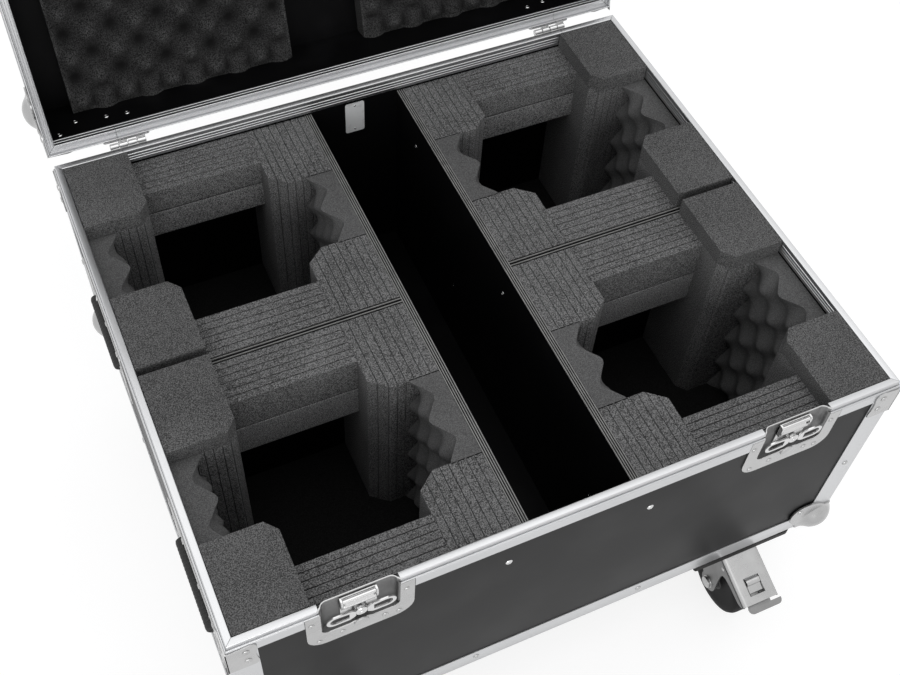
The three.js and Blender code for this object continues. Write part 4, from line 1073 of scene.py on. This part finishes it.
black_board = new_material("black_plywood_board", painted_ply)
tyre_rubber = new_material("dark_rubber_tyre", tyre)
tab_steel = new_material("worn_tab_steel", zinc_steel, 0.17, 0.28)
for side_x, side_y, label in CORNERS:
    braked = side_y < 0
    place = Matrix.Translation((side_x * CASTER_X, side_y * CASTER_Y, CASTER_TOP))

    def local(x, y, z):
        return place @ Vector((x, y, z))

    def side_on(y, z, x):
        return local(x, y, z)

    shape = bmesh.new()
    sheet(shape, [round_loop(69, 53, 3, 3)], local, 0, 9.8, 1)
    sheet(shape, [[(side_x * a, -side_y * b) for a, b in BOARD_NOTCHED]], local, 9.8, 11.9, 1)
    sheet(shape, [round_loop(52.5, 42.5, 6, 4)], local, -3, 0)
    for a, b, _ in CORNERS:
        turned(shape, BOLT, facing(local(40 * a, 32 * b, -3), DOWN), 6)
    turned(shape, KING_NUT, facing(local(0, 0, 0), DOWN), 6)
    put("caster_board_" + label, "case", shape, [pressed_steel, black_board], ["caster_mount_" + label],
        0.3)

    shape = bmesh.new()
    turned(shape, RACE, facing(local(0, 0, 0), DOWN), 36)
    crown = [(-25.4, -50), (25.4, -50)] + arc((0, 0), 25.4, 0, 180, 14)
    sheet(shape, [crown, arc((0, 0), 6.4, 0, 337.5, 15)], local, -11.7, -8.7)
    cheek = ([(24, -9.7)] + (BRAKED_EDGE if braked else PLAIN_EDGE) + arc(AXLE, 14, 180, 378, 12)
             + BACK_EDGE)
    for way in SIDES:
        # The fork's cheeks take the darker zinc, painted shade.
        extrude(shape, cheek, (way * 23, way * FORK_WIDE), side_on, 1)
        turned(shape, AXLE_NUT, facing(local(way * FORK_WIDE, *AXLE), (way, 0, 0)), 6 if way > 0 else 16)
        rivet(shape, local(way * FORK_WIDE, -58, -18), (way, 0, 0), 0, 0.75)
    round_bar(shape, [local(-FORK_WIDE, *AXLE), local(FORK_WIDE, *AXLE)], 5.9, 16)
    if braked:
        on_cover = slanted(place, COVER_START, COVER_SLOPE)
        skins = [[[shape.verts.new(on_cover(a * wide, station, b - deep)) for a, b in COVER_ARCH]
                  for station in COVER_STATIONS] for wide, deep in ((1, 0), (0.915, 2.1))]
        shell(shape, *skins, 0, COVER_WINDOW)
        under = [(station, height - 1.6) for station, height in reversed(TONGUE)]
        extrude(shape, TONGUE + under, (-9.4, 9.4), lambda station, height, a: on_cover(a, station, height))
    put("caster_fork_pressing_" + label, "fork_" + label, shape, [pressed_steel, painted_shade_steel],
        ["caster_fork_" + label], 0.5, crisp=42)

    shape = bmesh.new()
    for half, steps, finish in ((TREAD, 64, 0), (CORE, 48, 1)):
        rest = [(radius, WHEEL_WIDE - height) for radius, height in reversed(half)]
        turned(shape, half + rest + half[:1], facing(local(-WHEEL_WIDE / 2, *AXLE), (1, 0, 0)), steps, finish)
    put("wheel_with_tyre_" + label, "wheel_" + label, shape, [tyre_rubber, rubber],
        ["caster_wheel_" + label], 0.3)

    if braked:
        shape = bmesh.new()
        tab = ([(-16, 0), (16, 0), (16, 59), (31, 59)] + arc((24.4, 60.2), 6.5, 0, 90)
               + arc((-10.4, 60.2), 6.5, 90, 180) + [(-17, 59), (-16, 57)])
        on_tab = slanted(place, PEDAL_AXLE, PEDAL_SLOPE)
        sheet(shape, [tab], on_tab, -2.4, 0)
        close_rings(shape, [[on_tab(a * wide, b, h) for a, b in ((-7, 20), (7, 20), (7, 52), (-7, 52))]
                            for wide, h in ((1, -0.3), (0.9, 0.4), (0.7, 0.8))])
        for way in SIDES:
            extrude(shape, PEDAL_WEB, (way * 7, way * 9), side_on)
        block(shape, (-9, -74, -29.4), (9, -64, -26.5), 0, place)
        round_bar(shape, [local(way * 22.6, *PEDAL_AXLE[1:]) for way in SIDES], 3.4, 16)
        put("brake_tab_" + label, "pedal_" + label, shape, [tab_steel], ["brake_pedal_" + label],
            0.3)


# Stage. A plain white floor in a white surround, with one soft lamp above and one in front. The camera
# stands where the photo was taken from.
FLOOR_REACH = 9000


def in_view(shade):
    """1 for rays that the camera sees, straight or in a mirror or through glass."""
    path = shade.node("ShaderNodeLightPath", "Is Camera Ray")
    glossy, through = (Shade(shade.tree, path.socket.node.outputs[kind])
                       for kind in ("Is Glossy Ray", "Is Transmission Ray"))
    return path.math("MAXIMUM", path.math("MAXIMUM", path, glossy), through)


def stage_white(shade):
    tint = cloud(shade, 3.0)
    seen = in_view(shade)
    return {
        "Base Color": mixed(shade, seen, grey(0.8), mixed(shade, tint, grey(0.29), grey(0.3))),
        "Roughness": 0.9,
        "Specular IOR Level": 0.0,
        "Emission Color": mixed(shade, seen, grey(0), grey(0.8)),
        "Emission Strength": 1.0,
    }


shape = bmesh.new()
shape.faces.new([shape.verts.new((FLOOR_REACH * a, FLOOR_REACH * b, 0))
                 for a, b in ((-1, -1), (1, -1), (1, 1), (-1, 1))])
add_mesh("floor", shape, [new_material("white_floor", stage_white)])

world = bpy.data.worlds.new("studio")
bpy.context.scene.world = world
world.use_nodes = True
world.node_tree.nodes.clear()
sky = Shade(world.node_tree)
background = sky.node("ShaderNodeBackground", "Background", None,
                      {"Color": mixed(sky, in_view(sky), (0.59, 0.59, 0.6, 1), grey(1)), "Strength": 1.0})
sky.node("ShaderNodeOutputWorld", None, None, {"Surface": background})


def lamp(name, at, target, size, power):
    light = bpy.data.lights.new(name, "AREA")
    light.shape = "RECTANGLE"
    light.size, light.size_y = size
    light.energy = power
    holder = add_object(name, light)
    holder.location = at
    holder.rotation_euler = (Vector(target) - Vector(at)).to_track_quat("-Z", "Y").to_euler()


lamp("soft_top", (0.2, 0.2, 3.6), (0, 0, 0.4), (4.0, 4.0), 38)
lamp("soft_front", (-1.5, -3.4, 1.35), (0, 0, 0.45), (3.4, 1.3), 42)

view = bpy.data.cameras.new("photo_view")
view.sensor_width = 36
view.lens = 48.495
view.clip_start = 0.05
eye = add_object("photo_view", view)
right, up, ahead = (0.91108, -0.40998, 0.04293), (0.30986, 0.74982, 0.5846), (0.27187, 0.51932, -0.81018)
turn = Matrix([right, up, [-value for value in ahead]]).transposed().to_4x4()
eye.matrix_world = Matrix.Translation((-0.404, -0.7662, 1.5128)) @ turn
bpy.context.scene.camera = eye

scene = bpy.context.scene
scene.view_settings.view_transform = "Standard"
